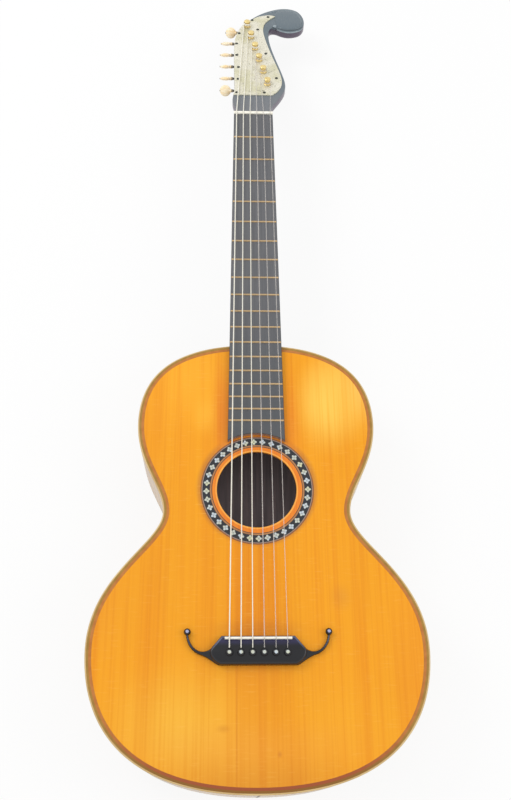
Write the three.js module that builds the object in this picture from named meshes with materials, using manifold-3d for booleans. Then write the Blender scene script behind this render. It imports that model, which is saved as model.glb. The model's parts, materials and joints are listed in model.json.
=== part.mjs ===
// A romantic guitar of the nineteenth century: spruce and maple body, black neck,
// one-sided scroll head with six worm and wheel tuning machines under a metal plate.
// Millimetres. While it is built, x is to the treble side, y from the nut to the head,
// and z out of the soundboard, whose face is z = 0. At the end it stands on its back.

import * as THREE from 'three';
import { mergeVertices } from 'three/addons/utils/BufferGeometryUtils.js';
import Module from 'manifold-3d';

const wasm = await Module();
wasm.setup();

// Clearances
const seam = 0.3;
const runningGap = 0.35;
const overrun = 4;
const half = 0.5;

// Strings and frets
const scaleLength = 620;
const fretCount = 18;
const stringCount = 6;
const saddleSetback = 2;
const nutSpread = 40.2;
const saddleSpread = 54;
const stringDiameters = { lowE: 1.15, a: 0.95, d: 0.8, g: 1.0, b: 0.8, highE: 0.7 };
const stringSides = 6;

// Body
const bodyLength = 445.7;
const bodyDepth = 80;
const neckJointDrop = 1;
const upperBoutWidth = 243.4;
const waistWidth = 186.2;
const lowerBoutWidth = 322.8;
const upperBoutDrop = 90.9;
const waistDrop = 186.1;
const lowerBoutDrop = 319.4;
const bodyCurveSteps = 8;
const soundboardThickness = 2.5;
const backThickness = 2.8;
const ribThickness = 2.2;
const bindingWidth = 1.2;
const purflingWidth = 4.8;
const purflingDepth = 1.2;
const liningWidth = 6;
const liningHeight = 13;
const neckBlockWidth = 62;
const neckBlockDepth = 34;
const tailBlockWidth = 62;
const tailBlockDepth = 14;

// Soundhole and rosette
const holeDrop = 162.4;
const holeRadius = 40;
const rosetteInnerRadius = 44.6;
const rosetteOuterRadius = 57;
const rosetteDepth = 1.2;
const circleSegments = 48;

// Braces
const braceWidth = 8;
const braceHeight = 12;
const topBraceOffsets = { upper: 112, aboveHole: 53, belowHole: -53 };
const lowerBraceShare = .68;
const backBraceOffsets = { upper: 93, middle: -24, lower: -165 };
const bridgePlateWidth = 30;
const bridgePlateLength = 124;
const bridgePlateThickness = 2.5;

// Neck and fretboard
const nutWidth = 46.6;
const octaveWidth = 55.4;
const fretboardThickness = 5;
const fretboardMargin = 1.3;
const fretHeight = 1.1;
const fretWidth = 2;
const fretTang = 0.6;
const fretEndInset = 0.4;
const neckDepthAtNut = 15.5;
const neckDepthAtHeel = 19;
const neckBlend = 26;
const neckSquareness = 5.5;
const neckRoundness = 2.4;
const neckSides = 12;
const heelReach = 46;
const heelFootReach = 13;
const heelFootWidth = 16;
const heelFootGap = 1.2;
const nutThickness = 4;
const nutHeight = 6.9;
const nutBackDrop = 1.2;

// Head
const headLength = 224;
const headTilt = THREE.MathUtils.degToRad(12);
const headRise = 3.8;
const headThickness = 12;
const headFaceRound = 0.8;
const headBackRound = 4.5;
const headPlateMargin = 0.3;
const throatLength = 34;
const throatDrop = 1.2;
const tunerPlateThickness = 1.2;

// Tuning machines
const wheelTeeth = 12;
const wheelPitchRadius = 4.2;
const wormPitchRadius = 2.3;
const toothAddendum = 0.65;
const toothRootGap = 0.3;
const wheelThickness = 3;
const wormDepth = 4.8;
const wormTurns = 3;
const wormSteps = 6;
const firstPostDistance = 54.7;
const postSpacing = 24.94;
const lastPostAcross = -5.8;
const firstPostAcross = 18.2;
const pivotRadius = 1.4;
const pivotLength = 3.4;
const axleRadius = 2.2;
const flangeRadius = 4.5;
const flangeThickness = 0.9;
const capRadius = 4.3;
const capThickness = 0.8;
const capDome = 0.9;
const spoolRadius = 3.3;
const windingTurns = 2.5;
const windingSteps = 10;
const windingGap = 0.45;
const roundSegments = 12;
const buttonSegments = 16;
const innerJournal = 3.4;
const buttonReach = 11;
const buttonRadius = 6.75;
const buttonThickness = 4.8;
const buttonRim = 2.2;
const buttonNeckLength = 3.2;
const buttonNeckRadius = 2.3;
const buttonSocketDepth = 4;
const buttonLean = THREE.MathUtils.degToRad(56);
const threadSink = 0.2;

// Bridge, saddle and pins
const bridgeSpan = 132.8;
const bridgeWidth = 26.4;
const bridgeHeight = 8;
const bridgeWingHeight = 4;
const bridgeFront = 2.8;
const bridgeTopInset = 1.2;
const bridgeBallRadius = 3.3;
const saddleThickness = 2.2;
const saddleLength = 62.8;
const saddleSlotDepth = 4;
const saddleHeight = 11;
const pinSetback = 12.8;
const pinHeadRadius = 3.5;
const pinHeadHeight = 3;
const pinShankRadius = 2.5;
const pinTipRadius = 1.9;
const pinLength = 21;

// Places along the guitar
const bodyTop = -(scaleLength * half + neckJointDrop);
const bodyBottom = bodyTop - bodyLength;
const holeCentre = bodyTop - holeDrop;
const saddleLine = -(scaleLength + saddleSetback);
const bridgeFrontLine = saddleLine + bridgeFront;
const bridgeBackLine = bridgeFrontLine - bridgeWidth;
const pinLine = saddleLine - pinSetback;
const backFace = -bodyDepth;
const backInside = backFace + backThickness;
const soundboardInside = -soundboardThickness;

// Direction and name of each side
const sides = [[-1, 'bass'], [1, 'treble']];

// Handle lengths of the body's four curves, as shares of the step that each curve makes
const bodyHandleShares = { top: 0.686, upperIn: 0.641, upperOut: 0.476, waistIn: 0.278,
  waistOut: 0.239, lowerIn: 0.539, lowerOut: 0.398, bottom: 0.854 };

// Turns a closed geometry into a solid that can be joined and cut
function solid(geometry) {
  const bare = geometry.clone();
  bare.deleteAttribute('normal');
  bare.deleteAttribute('uv');
  const merged = mergeVertices(bare);
  const mesh = new wasm.Mesh({
    numProp: 3,
    vertProperties: new Float32Array(merged.attributes.position.array),
    triVerts: new Uint32Array(merged.index.array),
  });
  return new wasm.Manifold(mesh);
}

// Turns a solid back into a geometry
function surface(body) {
  const mesh = body.getMesh();
  const geometry = new THREE.BufferGeometry();
  geometry.setAttribute('position', new THREE.BufferAttribute(new Float32Array(mesh.vertProperties), 3));
  geometry.setIndex(new THREE.BufferAttribute(new Uint32Array(mesh.triVerts), 1));
  geometry.computeVertexNormals();
  return geometry;
}

// A box between two corners
function block(low, high) {
  const size = new THREE.Vector3().subVectors(high, low);
  const centre = new THREE.Vector3().addVectors(low, high).multiplyScalar(half);
  return new THREE.BoxGeometry(size.x, size.y, size.z).translate(centre.x, centre.y, centre.z);
}

// A round bar along z between two heights
function post(radius, low, high, segments) {
  const bar = new THREE.CylinderGeometry(radius, radius, high - low, segments);
  return bar.rotateX(Math.PI / 2).translate(0, 0, (low + high) * half);
}

// Joins each loop of points to the next with a band of faces
function bands(loops, closed) {
  const count = loops[0].length;
  const last = closed ? loops.length : loops.length - 1;
  const index = [];
  for (let k = 0; k < last; k += 1) {
    const lower = k * count;
    const upper = ((k + 1) % loops.length) * count;
    for (let i = 0; i < count; i += 1) {
      const j = (i + 1) % count;
      index.push(lower + i, lower + j, upper + j);
      index.push(lower + i, upper + j, upper + i);
    }
  }
  return index;
}

// Builds a geometry from loops of 3-D points and a face index
function fromLoops(loops, index) {
  const positions = loops.flatMap((loop) => loop.flatMap((point) => [point.x, point.y, point.z]));
  const geometry = new THREE.BufferGeometry();
  geometry.setAttribute('position', new THREE.Float32BufferAttribute(positions, 3));
  geometry.setIndex(index);
  geometry.computeVertexNormals();
  return geometry;
}

// A solid that rises through outlines of equal count, counter-clockwise seen from above
function stack(layers) {
  const loops = layers.map(({ outline, z }) => outline.map((p) => new THREE.Vector3(p.x, p.y, z)));
  const index = bands(loops, false);
  const top = (layers.length - 1) * layers[0].outline.length;
  for (const [a, b, c] of THREE.ShapeUtils.triangulateShape(layers[0].outline.slice(), [])) {
    index.push(c, b, a);
  }
  for (const [a, b, c] of THREE.ShapeUtils.triangulateShape(layers.at(-1).outline.slice(), [])) {
    index.push(top + a, top + b, top + c);
  }
  return fromLoops(loops, index);
}

// A closed hoop with a rectangular section between an outer and an inner outline
function hoop(outer, inner, low, high) {
  const raise = (outline, z) => outline.map((p) => new THREE.Vector3(p.x, p.y, z));
  const loops = [raise(outer, low), raise(outer, high), raise(inner, high), raise(inner, low)];
  return fromLoops(loops, bands(loops, true));
}

// Moves a counter-clockwise outline inwards along its normals
function inset(outline, distance) {
  return outline.map((point, i) => {
    const before = outline[(i + outline.length - 1) % outline.length];
    const after = outline[(i + 1) % outline.length];
    const arrive = new THREE.Vector2().subVectors(point, before).normalize();
    const leave = new THREE.Vector2().subVectors(after, point).normalize();
    const along = new THREE.Vector2().addVectors(arrive, leave).normalize();
    const reach = distance / along.dot(arrive);
    return new THREE.Vector2(point.x - along.y * reach, point.y + along.x * reach);
  });
}

// Body outline
function bodyOutline(distance) {
  const share = bodyHandleShares;
  const upper = new THREE.Vector2(upperBoutWidth * half, bodyTop - upperBoutDrop);
  const waist = new THREE.Vector2(waistWidth * half, bodyTop - waistDrop);
  const lower = new THREE.Vector2(lowerBoutWidth * half, bodyTop - lowerBoutDrop);
  const shoulder = bodyTop - upper.y;
  const flank = upper.y - waist.y;
  const hip = waist.y - lower.y;
  const seat = lower.y - bodyBottom;
  const edge = new THREE.Path();
  edge.moveTo(0, bodyTop);
  edge.bezierCurveTo(share.top * upper.x, bodyTop, upper.x, upper.y + share.upperIn * shoulder,
    upper.x, upper.y);
  edge.bezierCurveTo(upper.x, upper.y - share.upperOut * flank, waist.x, waist.y + share.waistIn * flank,
    waist.x, waist.y);
  edge.bezierCurveTo(waist.x, waist.y - share.waistOut * hip, lower.x, lower.y + share.lowerIn * hip,
    lower.x, lower.y);
  edge.bezierCurveTo(lower.x, lower.y - share.lowerOut * seat, share.bottom * lower.x, bodyBottom,
    0, bodyBottom);
  const right = edge.getPoints(bodyCurveSteps);
  const left = right.slice(1, -1).reverse().map((p) => new THREE.Vector2(-p.x, p.y));
  return inset(right.concat(left).reverse(), distance);
}

// Half the width inside an outline at one place along the guitar
function halfWidthAt(outline, y) {
  let width = 0;
  outline.forEach((point, i) => {
    const next = outline[(i + 1) % outline.length];
    const share = (y - point.y) / (next.y - point.y);
    if (share >= 0 && share <= 1) width = Math.max(width, point.x + (next.x - point.x) * share);
  });
  return width;
}

// Half the width of the fretboard and neck at one place along the guitar
function neckHalfWidth(y) {
  return (nutWidth + (octaveWidth - nutWidth) * (-y / (scaleLength * half))) * half;
}

// Height of a string's underside at one place between nut and saddle
function stringHeight(y) {
  return THREE.MathUtils.lerp(nutHeight, saddleHeight, y / saddleLine);
}

// Finishes
const finishes = {
  spruce: { color: 0xf39c22, roughness: 0.35, metalness: 0 },
  innerSpruce: { color: 0xd9b98a, roughness: 0.7, metalness: 0 },
  maple: { color: 0xb98f4c, roughness: 0.35, metalness: 0 },
  holly: { color: 0xe6cf96, roughness: 0.4, metalness: 0 },
  darkBand: { color: 0x8a4f26, roughness: 0.4, metalness: 0 },
  pearlBand: { color: 0x2b2a2c, roughness: 0.35, metalness: 0 },
  blackWood: { color: 0x2b2d33, roughness: 0.3, metalness: 0 },
  ebony: { color: 0x4c4c50, roughness: 0.5, metalness: 0 },
  ivory: { color: 0xf6f2d8, roughness: 0.4, metalness: 0 },
  bone: { color: 0xf3d9ae, roughness: 0.35, metalness: 0 },
  nickel: { color: 0xd3ccb6, roughness: 0.35, metalness: 1 },
  brass: { color: 0xd9a441, roughness: 0.3, metalness: 1 },
  steel: { color: 0x3a3a40, roughness: 0.4, metalness: 1 },
  wound: { color: 0xd9d9d2, roughness: 0.3, metalness: 1 },
  gut: { color: 0xe8e2d0, roughness: 0.3, metalness: 0 },
};

const guitar = new THREE.Group();
const head = new THREE.Group();
head.position.set(0, nutThickness, headRise);
head.rotation.x = -headTilt;
guitar.add(head);

// Adds one named piece to a group
function add(group, name, geometry, finish) {
  const mesh = new THREE.Mesh(geometry, new THREE.MeshStandardMaterial(finishes[finish]));
  mesh.name = name;
  group.add(mesh);
  return mesh;
}

// Soundboard, back and the strips let into their edges
function makePlates() {
  const boardEdge = bodyOutline(bindingWidth + seam);
  const bandInside = bodyOutline(bindingWidth + seam + purflingWidth);
  const fieldEdge = bodyOutline(bindingWidth + seam + purflingWidth + seam);
  const board = solid(stack([
    { outline: boardEdge, z: soundboardInside },
    { outline: boardEdge, z: -purflingDepth },
    { outline: fieldEdge, z: -purflingDepth },
    { outline: fieldEdge, z: 0 },
  ]));
  const hole = post(holeRadius, soundboardInside - overrun, overrun, circleSegments);
  const channel = new THREE.LatheGeometry([
    new THREE.Vector2(rosetteInnerRadius - seam, -rosetteDepth),
    new THREE.Vector2(rosetteOuterRadius + seam, -rosetteDepth),
    new THREE.Vector2(rosetteOuterRadius + seam, overrun),
    new THREE.Vector2(rosetteInnerRadius - seam, overrun),
    new THREE.Vector2(rosetteInnerRadius - seam, -rosetteDepth),
  ], circleSegments).rotateX(Math.PI / 2);
  let cut = board.subtract(solid(hole.translate(0, holeCentre, 0)));
  cut = cut.subtract(solid(channel.translate(0, holeCentre, 0)));
  for (const across of stringPlaces(saddleSpread)) {
    const bore = post(pinShankRadius + seam, soundboardInside - overrun, overrun, roundSegments);
    cut = cut.subtract(solid(bore.translate(across, pinLine, 0)));
  }
  // The top is two matched halves, glued along the middle
  for (const [side, name] of sides) {
    add(guitar, `soundboard_${name}`, surface(cut.subtract(sideBlock(-side))), 'spruce');
  }
  const ring = new THREE.LatheGeometry([
    new THREE.Vector2(rosetteInnerRadius, -rosetteDepth),
    new THREE.Vector2(rosetteOuterRadius, -rosetteDepth),
    new THREE.Vector2(rosetteOuterRadius, 0),
    new THREE.Vector2(rosetteInnerRadius, 0),
    new THREE.Vector2(rosetteInnerRadius, -rosetteDepth),
  ], circleSegments).rotateX(Math.PI / 2);
  add(guitar, 'rosette', surface(solid(ring.translate(0, holeCentre, 0))), 'pearlBand');
  const outer = bodyOutline(0);
  const bindingInside = bodyOutline(bindingWidth);
  add(guitar, 'top_binding', hoop(outer, bindingInside, soundboardInside, 0), 'holly');
  add(guitar, 'top_purfling', hoop(boardEdge, bandInside, -purflingDepth, 0), 'darkBand');
  add(guitar, 'back_binding', hoop(outer, bindingInside, backFace, backInside), 'holly');
  add(guitar, 'back', stack([{ outline: boardEdge, z: backFace }, { outline: boardEdge, z: backInside }]), 'maple');
}

// Places of the strings across the guitar, bass first, at a given spread
function stringPlaces(spread) {
  return Array.from({ length: stringCount }, (_, i) => spread * (i / (stringCount - 1) - half));
}

// A box that holds everything on one side of the centre line
function sideBlock(side) {
  const reach = lowerBoutWidth;
  const low = new THREE.Vector3(Math.min(0, side * reach), bodyBottom - reach, backFace - reach);
  const high = new THREE.Vector3(Math.max(0, side * reach), bodyTop + reach, reach);
  return solid(block(low, high));
}

// Space of the neck block or the tail block, widened on all sides by a gap
function blockSpace(width, from, to, gap) {
  const low = new THREE.Vector3(-width * half - gap, Math.min(from, to) - gap, backInside - gap);
  const high = new THREE.Vector3(width * half + gap, Math.max(from, to) + gap, soundboardInside + gap);
  return block(low, high);
}

// Ribs, linings and the two end blocks
function makeRim() {
  const outer = bodyOutline(0);
  const ribInside = bodyOutline(ribThickness);
  const liningOutside = bodyOutline(ribThickness + seam);
  const liningInside = bodyOutline(ribThickness + seam + liningWidth);
  const ribs = solid(hoop(outer, ribInside, backInside, soundboardInside));
  const topLining = solid(hoop(liningOutside, liningInside, soundboardInside - liningHeight, soundboardInside));
  const backLining = solid(hoop(liningOutside, liningInside, backInside, backInside + liningHeight));
  const neckEnd = [neckBlockWidth, bodyTop + overrun, bodyTop - neckBlockDepth];
  const tailEnd = [tailBlockWidth, bodyBottom - overrun, bodyBottom + tailBlockDepth];
  const neckGap = solid(blockSpace(...neckEnd, seam));
  const tailGap = solid(blockSpace(...tailEnd, seam));
  for (const [side, name] of sides) {
    const other = sideBlock(-side);
    add(guitar, `ribs_${name}`, surface(ribs.subtract(other)), 'maple');
    for (const [lining, place] of [[topLining, 'top'], [backLining, 'back']]) {
      const strip = lining.subtract(neckGap).subtract(tailGap).subtract(other);
      add(guitar, `${place}_lining_${name}`, surface(strip), 'innerSpruce');
    }
  }
  const inside = solid(stack([
    { outline: liningOutside, z: backInside },
    { outline: liningOutside, z: soundboardInside },
  ]));
  add(guitar, 'neck_block', surface(inside.intersect(solid(blockSpace(...neckEnd, 0)))), 'innerSpruce');
  add(guitar, 'tail_block', surface(inside.intersect(solid(blockSpace(...tailEnd, 0)))), 'innerSpruce');
}

// A bar across the inside of the body, with its top or foot on a plate and scooped ends
function brace(y, plate, direction) {
  const room = bodyOutline(ribThickness + liningWidth + seam * 2);
  const reach = Math.min(...[-half, 0, half].map((share) => halfWidthAt(room, y + share * braceWidth)));
  const scoop = braceHeight * half;
  const profile = [
    new THREE.Vector2(-reach, 0), new THREE.Vector2(reach, 0),
    new THREE.Vector2(reach, scoop), new THREE.Vector2(reach - braceHeight - scoop, braceHeight),
    new THREE.Vector2(-(reach - braceHeight - scoop), braceHeight), new THREE.Vector2(-reach, scoop),
  ];
  const bar = new THREE.ExtrudeGeometry(new THREE.Shape(profile), { depth: braceWidth, bevelEnabled: false });
  bar.translate(0, 0, -braceWidth * half).rotateX(direction * Math.PI / 2);
  return surface(solid(bar.translate(0, y, plate)));
}

// Braces under the soundboard and on the back, and the plate under the bridge
function makeBraces() {
  const middle = (bridgeFrontLine + bridgeBackLine) * half;
  const belowHole = holeCentre + topBraceOffsets.belowHole;
  const plateFront = middle + bridgePlateWidth * half;
  const lower = THREE.MathUtils.lerp(belowHole, plateFront, lowerBraceShare);
  for (const [name, offset] of Object.entries({ ...topBraceOffsets, lower: lower - holeCentre })) {
    const label = name.replace(/[A-Z]/, (letter) => `_${letter.toLowerCase()}`);
    add(guitar, `top_brace_${label}`, brace(holeCentre + offset, soundboardInside, -1), 'innerSpruce');
  }
  for (const [name, offset] of Object.entries(backBraceOffsets)) {
    add(guitar, `back_brace_${name}`, brace(holeCentre + offset, backInside, 1), 'innerSpruce');
  }
  const low = new THREE.Vector3(-bridgePlateLength * half, middle - bridgePlateWidth * half,
    soundboardInside - bridgePlateThickness);
  const high = new THREE.Vector3(bridgePlateLength * half, middle + bridgePlateWidth * half, soundboardInside);
  let plate = solid(block(low, high));
  for (const across of stringPlaces(saddleSpread)) {
    const bore = post(pinShankRadius + seam, low.z - overrun, high.z + overrun, roundSegments);
    plate = plate.subtract(solid(bore.translate(across, pinLine, 0)));
  }
  add(guitar, 'bridge_plate', surface(plate), 'innerSpruce');
}

// One cross-section of the neck, flat on top and rounded below
function neckSection(width, depth, power, y) {
  return Array.from({ length: neckSides + 1 }, (_, i) => {
    const angle = Math.PI * (i / neckSides);
    const bend = (value) => Math.sign(value) * Math.abs(value) ** (2 / power);
    return new THREE.Vector3(-width * bend(Math.cos(angle)), y, -depth * bend(Math.sin(angle)));
  });
}

// Closes a run of sections into a solid, with flat ends
function loft(sections) {
  const index = bands(sections, false);
  const count = sections[0].length;
  const last = (sections.length - 1) * count;
  for (let i = 1; i < count - 1; i += 1) {
    index.push(0, i + 1, i);
    index.push(last, last + i, last + i + 1);
  }
  return fromLoops(sections, index);
}

// Neck shaft with its heel, cut to meet the body's rim
function makeNeck() {
  const rootStart = bodyTop - overrun;
  const heelStart = bodyTop + heelReach;
  const shaft = loft([
    neckSection(neckHalfWidth(nutThickness), neckDepthAtNut, neckSquareness, nutThickness),
    neckSection(neckHalfWidth(-neckBlend * half), neckDepthAtNut, neckSquareness, -neckBlend * half),
    neckSection(neckHalfWidth(-neckBlend), neckDepthAtNut, neckRoundness, -neckBlend),
    neckSection(neckHalfWidth(heelStart), neckDepthAtHeel, neckRoundness, heelStart),
    neckSection(neckHalfWidth(rootStart), neckDepthAtHeel, neckRoundness, rootStart),
  ]);
  const foot = backFace + heelFootGap;
  const topHalf = neckHalfWidth(bodyTop) - seam;
  const levels = 7;
  const sections = Array.from({ length: levels }, (_, k) => {
    const fall = k / (levels - 1);
    const z = THREE.MathUtils.lerp(foot, -overrun, 1 - fall);
    const narrow = Math.cos(fall * Math.PI * half) ** (half + 1);
    const width = THREE.MathUtils.lerp(heelFootWidth * half, topHalf, Math.cos(fall * Math.PI * half));
    const reach = THREE.MathUtils.lerp(heelFootReach, heelReach, narrow ** 2);
    return heelSection(width, reach, z, rootStart);
  }).reverse();
  const heel = loft(sections);
  const rim = solid(stack([
    { outline: bodyOutline(-seam), z: backFace - overrun },
    { outline: bodyOutline(-seam), z: overrun },
  ]));
  add(guitar, 'neck', surface(solid(shaft).add(solid(heel)).subtract(rim)), 'blackWood');
}

// One level of the heel: a half oval that starts on the body and swells towards the nut
function heelSection(width, reach, z, rootStart) {
  const depth = bodyTop + reach - rootStart;
  return Array.from({ length: neckSides + 1 }, (_, i) => {
    const angle = Math.PI * (i / neckSides);
    return new THREE.Vector3(width * Math.cos(angle), rootStart + depth * Math.sin(angle), z);
  });
}

// Fretboard with its frets, ending in an arc round the rosette
function makeFretboard() {
  const far = holeCentre;
  const outline = [
    new THREE.Vector2(-neckHalfWidth(0), 0), new THREE.Vector2(-neckHalfWidth(far), far),
    new THREE.Vector2(neckHalfWidth(far), far), new THREE.Vector2(neckHalfWidth(0), 0),
  ];
  let board = solid(stack([{ outline, z: 0 }, { outline, z: fretboardThickness }]));
  const arc = post(rosetteOuterRadius + fretboardMargin, -overrun, fretboardThickness + overrun, circleSegments);
  board = board.subtract(solid(arc.translate(0, holeCentre, 0)));
  for (let fret = 1; fret <= fretCount; fret += 1) {
    const y = -scaleLength * (1 - 2 ** (-fret / 12));
    const width = 2 * (neckHalfWidth(y) - fretEndInset);
    const profile = new THREE.Shape([
      new THREE.Vector2(-fretWidth * half, -fretTang), new THREE.Vector2(fretWidth * half, -fretTang),
      new THREE.Vector2(fretWidth * half, fretHeight * half), new THREE.Vector2(0, fretHeight),
      new THREE.Vector2(-fretWidth * half, fretHeight * half),
    ]);
    const bar = new THREE.ExtrudeGeometry(profile, { depth: width, bevelEnabled: false });
    bar.translate(0, 0, -width * half).rotateX(Math.PI / 2).rotateZ(Math.PI / 2);
    board = board.add(solid(bar.translate(0, y, fretboardThickness)));
  }
  add(guitar, 'fretboard', surface(board), 'ebony');
}

// Nut, a bar with a rounded back
function makeNut() {
  const profile = new THREE.Shape([
    new THREE.Vector2(0, 0), new THREE.Vector2(nutThickness, 0),
    new THREE.Vector2(nutThickness, nutHeight - nutBackDrop),
    new THREE.Vector2(nutThickness * half, nutHeight - nutBackDrop / 4),
    new THREE.Vector2(0, nutHeight),
  ]);
  const bar = new THREE.ExtrudeGeometry(profile, { depth: nutWidth, bevelEnabled: false });
  bar.rotateX(Math.PI / 2).rotateZ(Math.PI / 2).translate(-nutWidth * half, 0, 0);
  add(guitar, 'nut', surface(solid(bar)), 'ivory');
}

// Outline of the head's face, as shares of the head's length: treble edge, scroll, bass edge
const headOutlineShares = [
  [0.094, -0.036], [0.094, 0], [0.1, 0.04], [0.123, 0.087], [0.154, 0.145], [0.177, 0.205],
  [0.18, 0.268], [0.164, 0.357], [0.135, 0.481], [0.112, 0.589], [0.099, 0.683], [0.101, 0.759],
  [0.116, 0.792], [0.138, 0.795], [0.17, 0.776], [0.207, 0.763], [0.25, 0.767], [0.29, 0.79],
  [0.311, 0.839], [0.307, 0.911], [0.277, 0.973], [0.223, 0.999], [0.161, 0.995], [0.088, 0.962],
  [0.027, 0.914], [-0.018, 0.862], [-0.054, 0.812], [-0.08, 0.748], [-0.098, 0.665], [-0.103, 0.562],
  [-0.103, 0.379], [-0.102, 0.205], [-0.108, 0.148], [-0.112, 0.108], [-0.107, 0.066], [-0.094, 0.027],
  [-0.087, 0], [-0.087, -0.036],
];

// Outline of the tuner plate: treble edge up to its point, then the edge under the scroll
const plateTrebleShares = [
  [0.106, 0.146], [0.132, 0.174], [0.153, 0.212], [0.162, 0.254], [0.16, 0.308], [0.145, 0.384],
  [0.12, 0.482], [0.095, 0.589], [0.075, 0.692], [0.068, 0.768], [0.078, 0.83], [0.105, 0.873],
  [0.143, 0.911],
];
const plateCrownShares = [[0.143, 0.911], [0.106, 0.921], [0.058, 0.91], [0.026, 0.893], [-0.001, 0.866],
  [-0.042, 0.833]];

// Places that the machines share, from the nut end of the head's face
const wheelAddendumRadius = wheelPitchRadius + toothAddendum;
const wormOuterRadius = wormPitchRadius + toothAddendum;
const wheelRootRadius = wheelPitchRadius - toothAddendum - toothRootGap;
const wormRootRadius = wormPitchRadius - toothAddendum - toothRootGap;
const wormOffset = wheelPitchRadius + wormPitchRadius;
const threadPitch = 2 * Math.PI * wheelPitchRadius / wheelTeeth;
const threadRootShare = 0.5;
const threadCrestShare = 0.18;
const threadReach = (wormTurns + threadRootShare) * threadPitch * half;
const pocketFloor = -(wormDepth + wormOuterRadius + runningGap);
const wheelFoot = -(wormDepth + wheelThickness * half);
const wheelTop = -(wormDepth - wheelThickness * half);
const flangeFoot = tunerPlateThickness + runningGap;
const spoolFoot = flangeFoot + flangeThickness;
const windingRise = windingTurns * (stringDiameters.lowE + windingGap);
const spoolHeight = windingRise + stringDiameters.lowE + seam * 2;
const stations = Array.from({ length: stringCount }, (_, i) => {
  const rank = stringCount - 1 - i;
  const across = THREE.MathUtils.lerp(firstPostAcross, lastPostAcross, rank / (stringCount - 1));
  return new THREE.Vector2(across, firstPostDistance + postSpacing * rank);
});

// A smooth line through shares of a length
function smooth(shares, length, steps) {
  const points = shares.map(([x, y]) => new THREE.Vector2(x * length, y * length));
  return new THREE.SplineCurve(points).getPoints((points.length - 1) * steps);
}

// Outline of the head's face
function headOutline(distance) {
  return inset(smooth(headOutlineShares, headLength, 2), distance);
}

// The head's bass edge beside one machine
function bassEdgeAt(distance) {
  return -halfWidthAt(headOutline(0).map((p) => new THREE.Vector2(-p.x, p.y)), distance);
}

// Head of the guitar: a slab with a scroll, pockets for the machines and a throat into the neck
function makeHeadstock() {
  const slant = Math.SQRT1_2;
  const slab = solid(stack([
    { outline: headOutline(headBackRound), z: -headThickness },
    { outline: headOutline(headBackRound * (1 - slant)), z: -headThickness + headBackRound * (1 - slant) },
    { outline: headOutline(0), z: -headThickness + headBackRound },
    { outline: headOutline(0), z: -headFaceRound },
    { outline: headOutline(headFaceRound), z: 0 },
  ]));
  head.updateMatrix();
  const toHead = head.matrix.clone().invert();
  const throatStart = nutThickness + seam;
  const throat = loft([
    throatSection(throatStart, neckDepthAtNut),
    throatSection(throatStart + throatLength * half, neckDepthAtNut + throatDrop),
    throatSection(throatStart + throatLength, neckDepthAtNut + throatDrop * 2),
  ].reverse()).applyMatrix4(toHead);
  const nutSide = block(new THREE.Vector3(-nutWidth, -headLength, -headLength),
    new THREE.Vector3(nutWidth, throatStart, headLength)).applyMatrix4(toHead);
  let wood = slab.add(solid(throat)).subtract(solid(nutSide));
  for (const station of stations) {
    const wheelPocket = post(wheelAddendumRadius + runningGap, pocketFloor, overrun, roundSegments);
    const pivotHole = post(pivotRadius + runningGap, wheelFoot - pivotLength - runningGap, overrun, roundSegments);
    const wormPocket = block(
      new THREE.Vector3(-threadReach - runningGap, -wormOffset - wormOuterRadius - runningGap, pocketFloor),
      new THREE.Vector3(threadReach + runningGap, -wormOffset + wormOuterRadius, overrun),
    );
    const bassEdge = bassEdgeAt(station.y - wormOffset) - station.x - overrun;
    const bearing = post(wormRootRadius + runningGap, bassEdge, threadReach + innerJournal + runningGap,
      roundSegments).rotateY(Math.PI / 2).translate(0, -wormOffset, -wormDepth);
    for (const space of [wheelPocket, pivotHole, wormPocket, bearing]) {
      wood = wood.subtract(solid(space.translate(station.x, station.y, 0)));
    }
  }
  add(head, 'headstock', surface(wood), 'blackWood');
}

// One cross-section of the throat, whose top stays inside the head
function throatSection(y, depth) {
  const top = headRise - (y - nutThickness) * Math.tan(headTilt) - headFaceRound;
  const width = -headOutlineShares.at(-2)[0] * headLength - seam;
  return neckSection(width, depth + top, neckSquareness, y).map((p) => p.setZ(p.z + top));
}

// Metal plate over the machines, with a hole for each post
function makeTunerPlate() {
  const treble = smooth(plateTrebleShares, headLength, 2);
  const crown = smooth(plateCrownShares, headLength, 1).slice(1);
  const outline = treble.concat(crown, [
    new THREE.Vector2(-headLength, crown.at(-1).y), new THREE.Vector2(-headLength, treble[0].y),
  ]);
  const sheet = solid(stack([{ outline, z: 0 }, { outline, z: tunerPlateThickness }]));
  const edge = headOutline(headPlateMargin + headFaceRound);
  const bounds = solid(stack([{ outline: edge, z: -overrun }, { outline: edge, z: overrun }]));
  let plate = sheet.intersect(bounds);
  for (const station of stations) {
    const hole = post(axleRadius + runningGap, -overrun, overrun, roundSegments);
    plate = plate.subtract(solid(hole.translate(station.x, station.y, 0)));
  }
  add(head, 'tuner_plate', surface(plate), 'nickel');
}

// Outline of the worm wheel, turned by an angle
function wheelOutline(turn) {
  const toothShares = [[wheelRootRadius, 0.25], [wheelAddendumRadius, 0.1]];
  const step = 2 * Math.PI / wheelTeeth;
  return Array.from({ length: wheelTeeth }, (_, i) => {
    const middle = step * i - Math.PI * half + turn;
    const sides = [[-1, 0], [-1, 1], [1, 1], [1, 0]];
    return sides.map(([side, tip]) => {
      const [radius, share] = toothShares[tip];
      const angle = middle + side * step * share;
      return new THREE.Vector2(radius * Math.cos(angle), radius * Math.sin(angle));
    });
  }).flat();
}

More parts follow.
